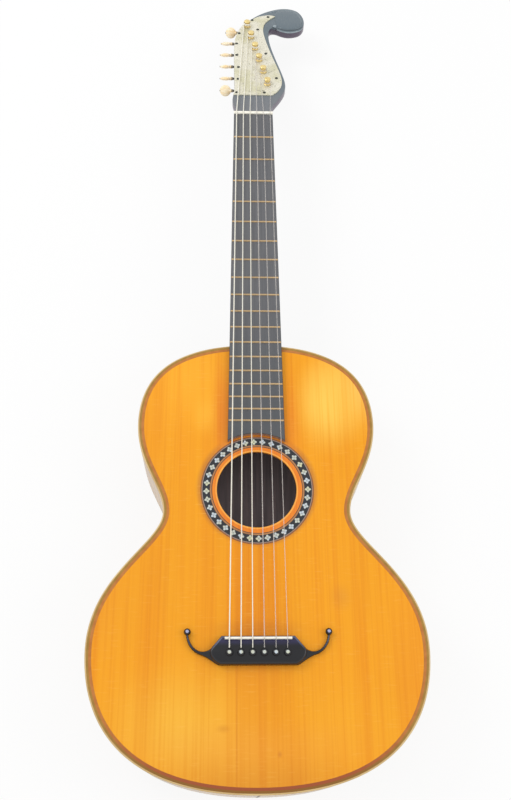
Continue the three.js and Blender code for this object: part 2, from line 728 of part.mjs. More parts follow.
// String post with its worm wheel, turned and cut from one bar
function makeStringPost(station, i) {
  const cap = spoolFoot + spoolHeight;
  const bar = new THREE.LatheGeometry([
    new THREE.Vector2(0, wheelFoot - pivotLength), new THREE.Vector2(pivotRadius, wheelFoot - pivotLength),
    new THREE.Vector2(pivotRadius, wheelFoot), new THREE.Vector2(axleRadius, wheelFoot),
    new THREE.Vector2(axleRadius, flangeFoot), new THREE.Vector2(flangeRadius, flangeFoot),
    new THREE.Vector2(flangeRadius, spoolFoot), new THREE.Vector2(spoolRadius, spoolFoot),
    new THREE.Vector2(spoolRadius, cap), new THREE.Vector2(capRadius, cap),
    new THREE.Vector2(capRadius, cap + capThickness), new THREE.Vector2(0, cap + capThickness + capDome),
  ], roundSegments).rotateX(Math.PI / 2);
  const lean = wheelThickness * half / (wheelTeeth * wormPitchRadius);
  const wheel = stack([{ outline: wheelOutline(-lean), z: wheelFoot }, { outline: wheelOutline(lean), z: wheelTop }]);
  const mesh = add(head, `string_post_${i + 1}`, surface(solid(bar).add(solid(wheel))), 'brass');
  mesh.position.set(station.x, station.y, 0);
}

// Worm with its shaft, in the frame of its own axis
function makeWormShaft(station, i, outerEnd) {
  const shaft = new THREE.LatheGeometry([
    new THREE.Vector2(0, outerEnd), new THREE.Vector2(wormRootRadius, outerEnd),
    new THREE.Vector2(wormRootRadius, threadReach + innerJournal),
    new THREE.Vector2(0, threadReach + innerJournal),
  ], roundSegments).rotateZ(-Math.PI / 2);
  const foot = wormRootRadius * Math.cos(Math.PI / roundSegments) - threadSink;
  const steps = Math.round(wormTurns * wormSteps);
  const sections = Array.from({ length: steps + 1 }, (_, k) => {
    const turn = wormTurns * (k / steps - half);
    const along = threadPitch * turn;
    const angle = 2 * Math.PI * (turn + half);
    const at = (share, radius) => new THREE.Vector3(along + share * threadPitch * half,
      radius * Math.cos(angle), radius * Math.sin(angle));
    return [at(-threadRootShare, foot), at(threadRootShare, foot), at(threadCrestShare, wormOuterRadius),
      at(-threadCrestShare, wormOuterRadius)];
  });
  const mesh = add(head, `worm_shaft_${i + 1}`, surface(solid(shaft).add(solid(loft(sections)))), 'steel');
  mesh.position.set(station.x, station.y - wormOffset, -wormDepth);
}

// Bone button: a lens on a short neck, bored for the end of the shaft
function makeButton(station, i, centre, quarterTurns) {
  const lens = new THREE.LatheGeometry([
    new THREE.Vector2(0, -buttonThickness * half), new THREE.Vector2(buttonRadius * half, -buttonRim),
    new THREE.Vector2(buttonRadius, -buttonRim * half), new THREE.Vector2(buttonRadius, buttonRim * half),
    new THREE.Vector2(buttonRadius * half, buttonRim), new THREE.Vector2(0, buttonThickness * half),
  ], buttonSegments);
  const tip = buttonRadius + buttonNeckLength;
  const neck = post(buttonNeckRadius, 0, tip, roundSegments).rotateY(Math.PI / 2);
  const socket = post(wormRootRadius + seam, tip - buttonSocketDepth - seam, tip + overrun, roundSegments);
  const button = solid(lens).add(solid(neck)).subtract(solid(socket.rotateY(Math.PI / 2)));
  const mesh = add(head, `tuner_button_${i + 1}`, surface(button), 'bone');
  mesh.position.set(station.x + centre, station.y - wormOffset, -wormDepth);
  mesh.rotation.x = buttonLean + quarterTurns * Math.PI / 2;
}

// The six tuning machines, from the bass string's at the top to the treble's near the nut
function makeMachines() {
  const quarterTurns = [-1, 0, 0, 0, 0, -1];
  stations.forEach((station, i) => {
    const centre = bassEdgeAt(station.y - wormOffset) - buttonReach - station.x;
    const outerEnd = centre + buttonRadius + buttonNeckLength - buttonSocketDepth;
    makeStringPost(station, i);
    makeWormShaft(station, i, outerEnd);
    makeButton(station, i, centre, quarterTurns[i]);
  });
}

// Half outline of the bridge, as shares of its half span and its width: front edge, then back edge
const bridgeFrontShares = [[0.518, 0], [0.599, 0.235], [0.675, 0.439], [0.753, 0.523], [0.828, 0.508],
  [0.896, 0.409], [0.944, 0.258], [0.976, 0.068], [0.985, -0.102]];
const bridgeBackShares = [[1.018, -0.102], [1.012, 0.049], [0.988, 0.25], [0.937, 0.439], [0.866, 0.583],
  [0.78, 0.667], [0.702, 0.769], [0.63, 0.886], [0.566, 0.985], [0.512, 1]];

// Bridge with its two curled arms, saddle slot and pin holes
function makeBridge() {
  const place = ([x, y]) => new THREE.Vector2(x * bridgeSpan * half, bridgeFrontLine - y * bridgeWidth);
  const right = bridgeFrontShares.concat(bridgeBackShares).map(place);
  const mirror = (points) => points.map((p) => new THREE.Vector2(-p.x, p.y)).reverse();
  const outline = right.concat(mirror(right)).reverse();
  const wings = solid(stack([{ outline, z: 0 }, { outline, z: bridgeWingHeight }]));
  const deckShares = [[0.518, 0], [0.66, 0.4], [0.68, 0.62], [0.59, 0.9], [0.53, 1]];
  const deckRight = deckShares.map(place);
  const deck = deckRight.concat(mirror(deckRight)).reverse();
  const crown = inset(deck, bridgeTopInset);
  let bridge = wings.add(solid(stack([
    { outline: deck, z: 0 }, { outline: deck, z: bridgeHeight - bridgeTopInset }, { outline: crown, z: bridgeHeight },
  ])));
  for (const side of [-1, 1]) {
    const ball = new THREE.SphereGeometry(bridgeBallRadius, roundSegments, roundSegments * half);
    const tip = bridgeFrontShares.at(-1)[1] * bridgeWidth;
    ball.rotateX(Math.PI / 2).translate(side * bridgeSpan * half, bridgeFrontLine - tip, bridgeBallRadius);
    bridge = bridge.add(solid(ball));
  }
  const slot = block(
    new THREE.Vector3(-saddleLength * half - seam, saddleLine - saddleThickness * half - seam,
      bridgeHeight - saddleSlotDepth),
    new THREE.Vector3(saddleLength * half + seam, saddleLine + saddleThickness * half + seam, bridgeHeight + overrun),
  );
  bridge = bridge.subtract(solid(slot));
  for (const across of stringPlaces(saddleSpread)) {
    const bore = post(pinShankRadius + seam, -overrun, bridgeHeight + overrun, roundSegments);
    bridge = bridge.subtract(solid(bore.translate(across, pinLine, 0)));
  }
  add(guitar, 'bridge', surface(bridge), 'blackWood');
}

// Saddle, a bar in the bridge's slot with a rounded crest
function makeSaddle() {
  const foot = bridgeHeight - saddleSlotDepth;
  const shoulder = saddleHeight - saddleThickness * half;
  const profile = new THREE.Shape([
    new THREE.Vector2(-saddleThickness * half, foot), new THREE.Vector2(saddleThickness * half, foot),
    new THREE.Vector2(saddleThickness * half, shoulder), new THREE.Vector2(0, saddleHeight),
    new THREE.Vector2(-saddleThickness * half, shoulder),
  ]);
  const bar = new THREE.ExtrudeGeometry(profile, { depth: saddleLength, bevelEnabled: false });
  bar.rotateX(Math.PI / 2).rotateZ(Math.PI / 2).translate(-saddleLength * half, saddleLine, 0);
  add(guitar, 'saddle', surface(solid(bar)), 'ivory');
}

// Bridge pins, with a domed head and a tapered shank
function makePins() {
  stringPlaces(saddleSpread).forEach((across, i) => {
    const pin = new THREE.LatheGeometry([
      new THREE.Vector2(0, bridgeHeight - pinLength), new THREE.Vector2(pinTipRadius, bridgeHeight - pinLength),
      new THREE.Vector2(pinShankRadius, bridgeHeight), new THREE.Vector2(pinHeadRadius, bridgeHeight),
      new THREE.Vector2(pinHeadRadius, bridgeHeight + pinHeadHeight * half),
      new THREE.Vector2(0, bridgeHeight + pinHeadHeight),
    ], roundSegments).rotateX(Math.PI / 2).translate(across, pinLine, 0);
    add(guitar, `bridge_pin_${i + 1}`, surface(solid(pin)), 'blackWood');
  });
}

// A curve that is stepped through its own points, straight between them
class Route extends THREE.Curve {
  constructor(points) {
    super();
    this.points = points;
  }

  getPoint(share, target = new THREE.Vector3()) {
    const place = share * (this.points.length - 1);
    const index = Math.min(Math.floor(place), this.points.length - 2);
    return target.lerpVectors(this.points[index], this.points[index + 1], place - index);
  }

  getPointAt(share, target) {
    return this.getPoint(share, target);
  }

  getTangentAt(share, target = new THREE.Vector3()) {
    const index = Math.round(share * (this.points.length - 1));
    const before = this.points[Math.max(index - 1, 0)];
    const after = this.points[Math.min(index + 1, this.points.length - 1)];
    return target.subVectors(after, before).normalize();
  }
}

// Route of one string: from its pin over saddle and nut, then round its post
function stringRoute(i, radius) {
  const rise = radius + seam;
  const saddleAcross = stringPlaces(saddleSpread)[i];
  const nutAcross = stringPlaces(nutSpread)[i];
  const pinFront = pinLine + pinHeadRadius + radius + seam;
  const station = stations[i];
  const side = i === stringCount - 1 ? 1 : -1;
  const coil = (spoolRadius + seam + radius) / Math.cos(Math.PI / windingSteps);
  const pitch = 2 * radius + windingGap;
  const foot = spoolFoot + rise;
  const points = [
    new THREE.Vector3(saddleAcross, pinFront, bridgeHeight + rise),
    new THREE.Vector3(saddleAcross, saddleLine - saddleThickness * half, saddleHeight - saddleThickness * half + rise),
    new THREE.Vector3(saddleAcross, saddleLine, saddleHeight + rise),
    new THREE.Vector3(nutAcross, 0, nutHeight + rise),
    new THREE.Vector3(nutAcross, nutThickness * half, nutHeight - nutBackDrop / 4 + rise),
  ];
  const steps = Math.round(windingTurns * windingSteps);
  const winding = Array.from({ length: steps + 1 }, (_, k) => {
    const turn = windingTurns * k / steps;
    const angle = side * 2 * Math.PI * turn + (side > 0 ? 0 : Math.PI);
    return new THREE.Vector3(station.x + coil * Math.cos(angle), station.y + coil * Math.sin(angle),
      foot + pitch * turn);
  });
  head.updateMatrix();
  return { points: points.concat(winding.map((p) => p.applyMatrix4(head.matrix))), winding };
}

// Least gap between the turns of a winding, measured on its points
function leastGap(winding, radius) {
  let least = Infinity;
  const apart = Math.round(windingSteps * half);
  winding.forEach((point, i) => {
    for (let j = i + apart; j < winding.length; j += 1) {
      least = Math.min(least, point.distanceTo(winding[j]) - 2 * radius);
    }
  });
  return least;
}

// Strings, each one piece from its pin to its post
function makeStrings() {
  Object.values(stringDiameters).forEach((diameter, i) => {
    const radius = diameter * half;
    const { points, winding } = stringRoute(i, radius);
    const section = new THREE.Shape(Array.from({ length: stringSides }, (_, k) => {
      const angle = 2 * Math.PI * k / stringSides;
      return new THREE.Vector2(radius * Math.cos(angle), radius * Math.sin(angle));
    }));
    const tube = new THREE.ExtrudeGeometry(section, { steps: points.length - 1, extrudePath: new Route(points) });
    add(guitar, `string_${i + 1}`, surface(solid(tube)), i < 3 ? 'wound' : 'gut');
    console.log(`string ${i + 1}: least gap between turns ${leastGap(winding, radius).toFixed(2)} mm`);
  });
}

makePlates();
makeRim();
makeBraces();
makeNeck();
makeFretboard();
makeNut();
makeHeadstock();
makeTunerPlate();
makeMachines();
makeBridge();
makeSaddle();
makePins();
makeStrings();

// Stands the guitar on its back, with the middle of its length and width over the origin
guitar.updateMatrixWorld(true);
const extent = new THREE.Box3().setFromObject(guitar, true);
const middle = extent.getCenter(new THREE.Vector3());
guitar.position.set(-middle.x, -middle.y, bodyDepth);

export default guitar;
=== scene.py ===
"""Romantic guitar: spruce and maple body, black neck, one-sided scroll head with geared tuners.

The classes keep their sizes in millimetres on the maker's bench: x to the treble side, y from
the nut towards the head, z out of the soundboard's face. The head has a frame of its own, whose
z stands on its tilted face. A Bench turns both to the model's frame, in metres.
"""
import json
import logging
import math
from dataclasses import dataclass, field
from enum import Enum
from typing import Callable, Iterable, Sequence

import bmesh
import bpy
from mathutils import Matrix, Vector
from mathutils.geometry import interpolate_bezier, tessellate_polygon

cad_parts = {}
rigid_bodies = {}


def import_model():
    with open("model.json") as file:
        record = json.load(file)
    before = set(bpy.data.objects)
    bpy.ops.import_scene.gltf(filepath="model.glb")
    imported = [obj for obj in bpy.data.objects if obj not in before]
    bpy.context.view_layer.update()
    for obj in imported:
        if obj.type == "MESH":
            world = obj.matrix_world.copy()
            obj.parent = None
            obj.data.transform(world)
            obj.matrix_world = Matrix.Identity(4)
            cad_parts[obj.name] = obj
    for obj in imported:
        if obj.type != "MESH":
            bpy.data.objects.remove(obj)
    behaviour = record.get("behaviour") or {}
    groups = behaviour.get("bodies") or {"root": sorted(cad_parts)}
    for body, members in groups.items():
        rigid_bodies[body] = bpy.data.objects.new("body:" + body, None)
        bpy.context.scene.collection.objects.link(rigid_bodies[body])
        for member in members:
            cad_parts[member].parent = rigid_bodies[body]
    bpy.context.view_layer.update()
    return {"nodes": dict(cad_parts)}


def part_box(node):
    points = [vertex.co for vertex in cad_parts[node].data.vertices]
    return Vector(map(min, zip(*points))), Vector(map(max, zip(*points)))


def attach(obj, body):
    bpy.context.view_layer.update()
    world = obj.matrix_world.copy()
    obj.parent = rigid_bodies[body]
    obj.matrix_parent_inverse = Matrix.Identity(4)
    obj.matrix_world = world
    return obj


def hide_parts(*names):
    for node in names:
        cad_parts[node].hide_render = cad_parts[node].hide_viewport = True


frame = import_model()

LOG = logging.getLogger("romantic_guitar")
Outline = list[Vector]
Pair = tuple[float, float]
Triple = tuple[float, float, float]
Socket = bpy.types.NodeSocket
Tree = bpy.types.NodeTree

MM = 0.001
STRINGS = 6
# A pattern with this step, in millimetres, doesn't change along the axis.
ENDLESS = 1e6
# Neighbouring walls stand this far apart in millimetres, so that no two lie on each other.
APART = 0.01
# Turns a shape that stands on z so that it points to the treble side.
TO_TREBLE = Matrix.Rotation(math.pi / 2, 4, "Y")


class Zone(Enum):
    """The two frames of the bench."""

    BODY = "body"
    HEAD = "head"


class Lay(Enum):
    """How a colour lies on the one below: as a stain, or as a clear glaze."""

    STAIN = "MIX"
    GLAZE = "MULTIPLY"


@dataclass(frozen=True)
class Bench:
    """Turns bench millimetres to metres in the model's frame."""

    origin: Vector
    nut_step: float = 4.0
    head_rise: float = 3.8
    head_tilt: float = math.radians(12)

    def matrix(self, zone: Zone) -> Matrix:
        """Gives the move from one zone's millimetres to the model's metres.

        Args:
            zone: The body's frame or the head's.

        Returns:
            A 4 by 4 matrix.
        """
        body = Matrix.Translation(self.origin) @ Matrix.Scale(MM, 4)
        if zone is Zone.BODY:
            return body
        lift = Matrix.Translation((0, self.nut_step, self.head_rise))
        return body @ lift @ Matrix.Rotation(-self.head_tilt, 4, "X")


NUT_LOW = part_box("nut")[0]
BENCH = Bench(Vector((0, NUT_LOW.y, NUT_LOW.z)))


def channels(code: str) -> list[int]:
    """Gives the red, green and blue of six hex digits, each from 0 to 255."""
    return [int(code[i : i + 2], 16) for i in (0, 2, 4)]


def linear(code: str) -> tuple[float, float, float, float]:
    """Turns an sRGB hex code to linear light.

    Args:
        code: Six hex digits.

    Returns:
        Red, green, blue and a full alpha.
    """
    shares = [part / 255 for part in channels(code)]
    light = [s / 12.92 if s <= 0.04045 else ((s + 0.055) / 1.055) ** 2.4 for s in shares]
    return (*light, 1.0)


def add_node(tree: Tree, kind: str, values: dict | None = None, links: dict | None = None,
             **settings: object) -> bpy.types.Node:
    """Adds one node with its settings and links.

    Args:
        tree: The node tree.
        kind: The node's type name.
        values: Input values by name or number.
        links: Sockets that feed inputs, by name or number.
        settings: The node's own properties.

    Returns:
        The node.
    """
    node = tree.nodes.new(kind)
    for key, value in settings.items():
        setattr(node, key, value)
    for key, value in (values or {}).items():
        node.inputs[key].default_value = value
    for key, source in (links or {}).items():
        tree.links.new(source, node.inputs[key])
    return node


def cleared_tree(block: bpy.types.Material | bpy.types.World) -> Tree:
    """Switches on the nodes of a material or of the world, and empties them.

    Args:
        block: The material or the world.

    Returns:
        Its node tree.
    """
    block.use_nodes = True
    block.node_tree.nodes.clear()
    return block.node_tree


def put_in_scene(name: str, data: bpy.types.ID) -> bpy.types.Object:
    """Makes an object from its data and links it to the scene.

    Args:
        name: The object's name.
        data: Its mesh, lamp or camera.

    Returns:
        The object.
    """
    thing = bpy.data.objects.new(name, data)
    bpy.context.scene.collection.objects.link(thing)
    return thing


@dataclass(frozen=True)
class Skin:
    """A material's node tree and shader, with the steps that every pattern is made of."""

    tree: Tree
    shader: bpy.types.Node

    def place(self, size_mm: Triple) -> Socket:
        """Gives the place on the object, counted in steps of a real size.

        Args:
            size_mm: The size of one step along x, y and z, in millimetres.

        Returns:
            The socket with the scaled place.
        """
        coords = add_node(self.tree, "ShaderNodeTexCoord")
        steps = Vector([1 / MM / size for size in size_mm])
        scaled = add_node(self.tree, "ShaderNodeVectorMath", {1: steps}, {0: coords.outputs["Object"]},
                          operation="MULTIPLY")
        return scaled.outputs[0]

    def noise(self, size_mm: float | Triple, detail: float = 2.0) -> Socket:
        """Gives a noise whose grains have a real size.

        Args:
            size_mm: The grains' size in millimetres, one for all axes or one for each.
            detail: How many finer layers the noise has.

        Returns:
            The socket with the noise.
        """
        sizes = size_mm if isinstance(size_mm, tuple) else (size_mm,) * 3
        node = add_node(self.tree, "ShaderNodeTexNoise", {"Scale": 1.0, "Detail": detail},
                        {"Vector": self.place(sizes)})
        return node.outputs["Fac"]

    def mask(self, source: Socket, low: float, high: float, strength: float = 1.0) -> Socket:
        """Gives a soft step from 0 at low to its strength at high."""
        values = {"From Min": low, "From Max": high, "To Max": strength}
        return add_node(self.tree, "ShaderNodeMapRange", values, {"Value": source},
                        interpolation_type="SMOOTHSTEP").outputs["Result"]

    def lengthwise(self, start_mm: float, end_mm: float) -> Socket:
        """Gives a soft step between two bench places along the guitar.

        Args:
            start_mm: Where the step is 0.
            end_mm: Where it is 1.

        Returns:
            The socket with the step.
        """
        place = add_node(self.tree, "ShaderNodeSeparateXYZ", links={0: self.place((1, 1, 1))})
        shift = BENCH.origin.y / MM
        return self.mask(place.outputs["Y"], start_mm + shift, end_mm + shift)

    def tone(self, mask: Socket, colour: str, lay: Lay = Lay.STAIN) -> None:
        """Lays a colour over what the shader has so far.

        Args:
            mask: The share of the new colour.
            colour: Its hex code.
            lay: As a stain or as a glaze.
        """
        feed = self.shader.inputs["Base Color"]
        values = {6: tuple(feed.default_value), 7: linear(colour)}
        node = add_node(self.tree, "ShaderNodeMix", values, {0: mask}, data_type="RGBA", blend_type=lay.value)
        if feed.is_linked:
            self.tree.links.new(feed.links[0].from_socket, node.inputs[6])
        self.tree.links.new(node.outputs[2], feed)

    def relief(self, height: Socket, depth_mm: float) -> None:
        """Raises the surface by a height pattern of a real depth."""
        bump = add_node(self.tree, "ShaderNodeBump", {"Strength": 1.0, "Distance": depth_mm * MM},
                        {"Height": height})
        self.tree.links.new(bump.outputs[0], self.shader.inputs["Normal"])

    def gloss(self, mask: Socket, low: float, high: float) -> None:
        """Lets the roughness run with a mask between two shares of its plain value.

        Args:
            mask: The pattern.
            low: The share where the mask is 0.
            high: The share where it is 1.
        """
        rough = self.shader.inputs["Roughness"]
        values = {"To Min": rough.default_value * low, "To Max": rough.default_value * high}
        node = add_node(self.tree, "ShaderNodeMapRange", values, {"Value": mask})
        self.tree.links.new(node.outputs["Result"], rough)


@dataclass(frozen=True)
class Finish:
    """A material under its real name, with the record's slot that it belongs to."""

    name: str
    slot: str
    colour: str
    roughness: float
    metallic: float = 0.0
    ior: float = 1.5
    coat: float = 0.0
    coat_roughness: float = 0.1
    specular: float = 0.5
    alpha: float = 1.0

    def material(self) -> bpy.types.Material:
        """Gives the material, which is made once and then kept."""
        return bpy.data.materials.get(self.name) or self.make()

    def make(self) -> bpy.types.Material:
        """Makes the material with its shader and its pattern.

        Returns:
            The new material.
        """
        material = bpy.data.materials.new(self.name)
        tree = cleared_tree(material)
        values = {
            "Base Color": linear(self.colour),
            "Metallic": self.metallic,
            "Roughness": self.roughness,
            "Coat Weight": self.coat,
            "Coat Roughness": self.coat_roughness,
            "Specular IOR Level": self.specular,
            "Alpha": self.alpha,
        }
        if self.metallic == 0:
            values["IOR"] = self.ior
        shader = add_node(tree, "ShaderNodeBsdfPrincipled", values)
        add_node(tree, "ShaderNodeOutputMaterial", links={"Surface": shader.outputs[0]})
        self.pattern(Skin(tree, shader))
        return material

    def pattern(self, skin: Skin) -> None:
        """Adds what the surface shows up close; a plain finish is faintly uneven every 9 mm."""
        skin.tone(skin.noise(9, detail=3), self.shade(0.9))
        skin.relief(skin.noise(0.8), 0.02)

    def shade(self, share: float) -> str:
        """Gives the finish's colour made darker or lighter by a share."""
        return "".join(f"{min(255, round(part * share)):02x}" for part in channels(self.colour))


@dataclass(frozen=True)
class StainAndLightPatch:
    """A soft patch of another tone on the soundboard: a stain in the shellac, or a painted highlight or
    painted shade.
    """

    x: float
    y: float
    width: float
    height: float
    colour: str
    strength: float
    core: float = 0.0

    def mask(self, skin: Skin) -> Socket:
        """Gives the patch, which fades from its core to its rim.

        Args:
            skin: The soundboard's surface.

        Returns:
            The socket with the share of its colour.
        """
        middle = BENCH.matrix(Zone.BODY) @ Vector((self.x, self.y, 0))
        target = Vector((middle.x / MM / self.width, middle.y / MM / self.height, 0))
        place = skin.place((self.width, self.height, ENDLESS))
        away = add_node(skin.tree, "ShaderNodeVectorMath", {1: target}, {0: place}, operation="DISTANCE")
        return skin.mask(away.outputs["Value"], 1.0, self.core, self.strength)


@dataclass(frozen=True)
class ShellacSpruce(Finish):
    """Quarter-sawn spruce under aged amber shellac."""

    stains_and_light: tuple[StainAndLightPatch, ...] = ()
    # Annual rings about 2 mm apart, the fine upright lines of the top, in broader pale stripes.
    ring_mm: Triple = (2.1, 220, 220)
    ring_tint: str = "f9efd2"
    stripe_mm: Triple = (11, 260, 260)
    stripe_tint: str = "fbf2dc"
    # Silk: short pale flecks across the grain, about 1 mm high and 16 mm wide.
    silk_mm: Triple = (16, 1.3, 20)
    silk_colour: str = "ffc45a"

    def pattern(self, skin: Skin) -> None:
        """Adds tone patches, among them painted highlights and painted shade, annual rings, cross silk and a
        satin film that is not quite even.

        Args:
            skin: The surface that shows it.
        """
        skin.tone(skin.noise((60, 150, 60)), self.shade(0.96))
        # Each patch is a stain in the shellac, a painted highlight or painted shade.
        for stain in self.stains_and_light:
            skin.tone(stain.mask(skin), stain.colour)
        rings = skin.noise(self.ring_mm, detail=3)
        skin.tone(skin.mask(rings, 0.42, 0.7), self.ring_tint, Lay.GLAZE)
        skin.tone(skin.mask(skin.noise(self.stripe_mm, detail=1), 0.45, 0.75), self.stripe_tint, Lay.GLAZE)
        skin.tone(skin.mask(skin.noise(self.silk_mm, detail=1), 0.58, 0.85, 0.3), self.silk_colour)
        skin.relief(rings, 0.012)
        skin.gloss(skin.noise((25, 40, 25)), 0.8, 1.3)


@dataclass(frozen=True)
class StripedWood(Finish):
    """Wood with fibres along one axis, in two tones."""

    dark: str = "000000"
    fibre_mm: Triple = (1.0, 60, 1.0)
    figure_mm: Triple | None = None
    figure_colour: str = "000000"
    foot_colour: str = ""
    foot_span: Pair = (-685, -756)

    def pattern(self, skin: Skin) -> None:
        """Adds fibres, slow changes of tone, pores and, where set, a cross figure.

        Args:
            skin: The surface that shows it.
        """
        fibres = skin.noise(self.fibre_mm, detail=4)
        skin.tone(skin.mask(fibres, 0.25, 0.75), self.dark)
        if self.figure_mm:
            skin.tone(skin.mask(skin.noise(self.figure_mm, detail=1), 0.46, 0.72), self.figure_colour)
        if self.foot_colour:
            skin.tone(skin.lengthwise(*self.foot_span), self.foot_colour)
        skin.relief(fibres, 0.02)
        skin.gloss(skin.noise((18, 30, 18)), 0.85, 1.25)


@dataclass(frozen=True)
class Pearl(Finish):
    """Mother of pearl cut to small plates and polished flat."""

    cool: str = "c4d0da"
    warm: str = "d2d2a6"

    def pattern(self, skin: Skin) -> None:
        """Adds the shift from silver to green and gold that differs from plate to plate.

        Args:
            skin: The surface that shows it.
        """
        skin.tone(skin.mask(skin.noise(7), 0.4, 0.62), self.cool)
        skin.tone(skin.mask(skin.noise((23, 19, 23)), 0.5, 0.7), self.warm)
        skin.relief(skin.noise((1.2, 2.4, 1.2)), 0.01)


@dataclass(frozen=True)
class WorkedMetal(Finish):
    """Metal with fine marks from the file or the lathe, and tarnish in its hollows."""

    tarnish: str = "6b5a3a"
    mark_mm: Triple = (4, 0.25, 4)
    tarnish_from: float = 0.55

    def pattern(self, skin: Skin) -> None:
        """Adds tool marks and tarnish.

        Args:
            skin: The surface that shows it.
        """
        cloud = skin.noise(3.5, detail=4)
        skin.tone(skin.mask(cloud, self.tarnish_from, 0.8), self.tarnish)
        skin.relief(skin.noise(self.mark_mm, detail=3), 0.006)
        skin.gloss(cloud, 0.8, 1.4)


@dataclass(frozen=True)
class EngravedPlate(Finish):
    """Nickel silver sheet with hand-engraved leaf scrolls."""

    cut: str = "b4b09c"
    patch_colour: str = "dad6b8"
    mottle: str = "cfcbb8"
    curl: float = 26.0

    def pattern(self, skin: Skin) -> None:
        """Adds curling cut lines, about 3 mm apart, and a soft mottled tarnish.

        Args:
            skin: The surface that shows it.
        """
        cloud = skin.noise(7, detail=4)
        skin.tone(skin.mask(skin.noise(24), 0.42, 0.62), self.patch_colour)
        skin.tone(skin.mask(cloud, 0.5, 0.8, 0.5), self.mottle)
        warp = add_node(skin.tree, "ShaderNodeMath", {1: self.curl}, {0: skin.noise(11, detail=1)},
                        operation="MULTIPLY")
        wave = add_node(skin.tree, "ShaderNodeMath", links={0: warp.outputs[0]}, operation="SINE")
        size = add_node(skin.tree, "ShaderNodeMath", links={0: wave.outputs[0]}, operation="ABSOLUTE")
        skin.tone(skin.mask(size.outputs[0], 0.22, 0.05), self.cut)
        skin.relief(size.outputs[0], 0.02)
        skin.gloss(cloud, 0.8, 1.3)


@dataclass(frozen=True)
class WoundWire(Finish):
    """Silk core wound with fine silvered wire, drawn 0.9 mm a turn so that it shows."""

    turn_mm: float = 0.9

    def pattern(self, skin: Skin) -> None:
        """Adds the turns of the wire along the string, each one wave of a sine.

        Args:
            skin: The surface that shows it.
        """
        step = self.turn_mm / 6.283
        apart = add_node(skin.tree, "ShaderNodeSeparateXYZ", links={0: skin.place((ENDLESS, step, step))})
        wave = add_node(skin.tree, "ShaderNodeMath", links={0: apart.outputs["Y"]}, operation="SINE")
        skin.tone(skin.mask(wave.outputs[0], -0.4, -1.0), self.shade(0.72))
        skin.relief(wave.outputs[0], 0.03)


# Where the shellac of the top is paler, redder or browner, and where highlights and shade are painted on it,
# from the first layer to the last.
STAINS_AND_LIGHT = (
    # Painted highlights: the next three patches are where the soft light shines on the upper bouts.
    StainAndLightPatch(74, -380, 42, 66, "ffd25c", 0.85),
    StainAndLightPatch(-52, -392, 20, 30, "ffbe3c", 0.5),
    StainAndLightPatch(96, -362, 54, 66, "ffc650", 0.85),
    # Painted shade on the top along the bass side of the fingerboard.
    StainAndLightPatch(-33, -402, 9, 62, "e07c2c", 0.7),
    StainAndLightPatch(0.5, -472, 63, 63, "b0703c", 0.6, 0.9),
    # Painted highlight of the soft light at the upper treble edge of the top.
    StainAndLightPatch(140, -350, 60, 70, "ffc070", 0.5),
    StainAndLightPatch(-72, -350, 75, 80, "ffb42c", 0.6),
    # Painted shade on the top along both sides of the fingerboard.
    StainAndLightPatch(-34, -388, 16, 85, "f08c22", 0.75),
    StainAndLightPatch(36, -400, 14, 70, "f29024", 0.6),
    StainAndLightPatch(-70, -700, 95, 75, "f7b93a", 0.85),
    StainAndLightPatch(80, -700, 80, 60, "f7ad22", 0.5),
    StainAndLightPatch(-5, -600, 42, 150, "e88c18", 0.7),
    # Painted shadow of the bridge on the top, along its neck side.
    StainAndLightPatch(0, -611, 60, 12, "c87428", 0.35),
    StainAndLightPatch(0, -700, 45, 60, "e99410", 0.3),
    StainAndLightPatch(0, -422, 75, 40, "f09220", 0.5),
    StainAndLightPatch(0, -752, 150, 40, "dc9028", 0.7),
    StainAndLightPatch(0, -718, 140, 34, "eda040", 0.3),
    StainAndLightPatch(-20, -700, 1.3, 120, "d88a20", 0.5),
    StainAndLightPatch(-32, -701, 9, 5, "d08020", 0.4),
    StainAndLightPatch(18.5, -723, 3, 4, "c87428", 0.5),
    StainAndLightPatch(79, -582, 14, 18, "d88a30", 0.35),
    StainAndLightPatch(150, -650, 36, 140, "f0961c", 0.5),
    StainAndLightPatch(-150, -560, 26, 90, "e99322", 0.5),
)


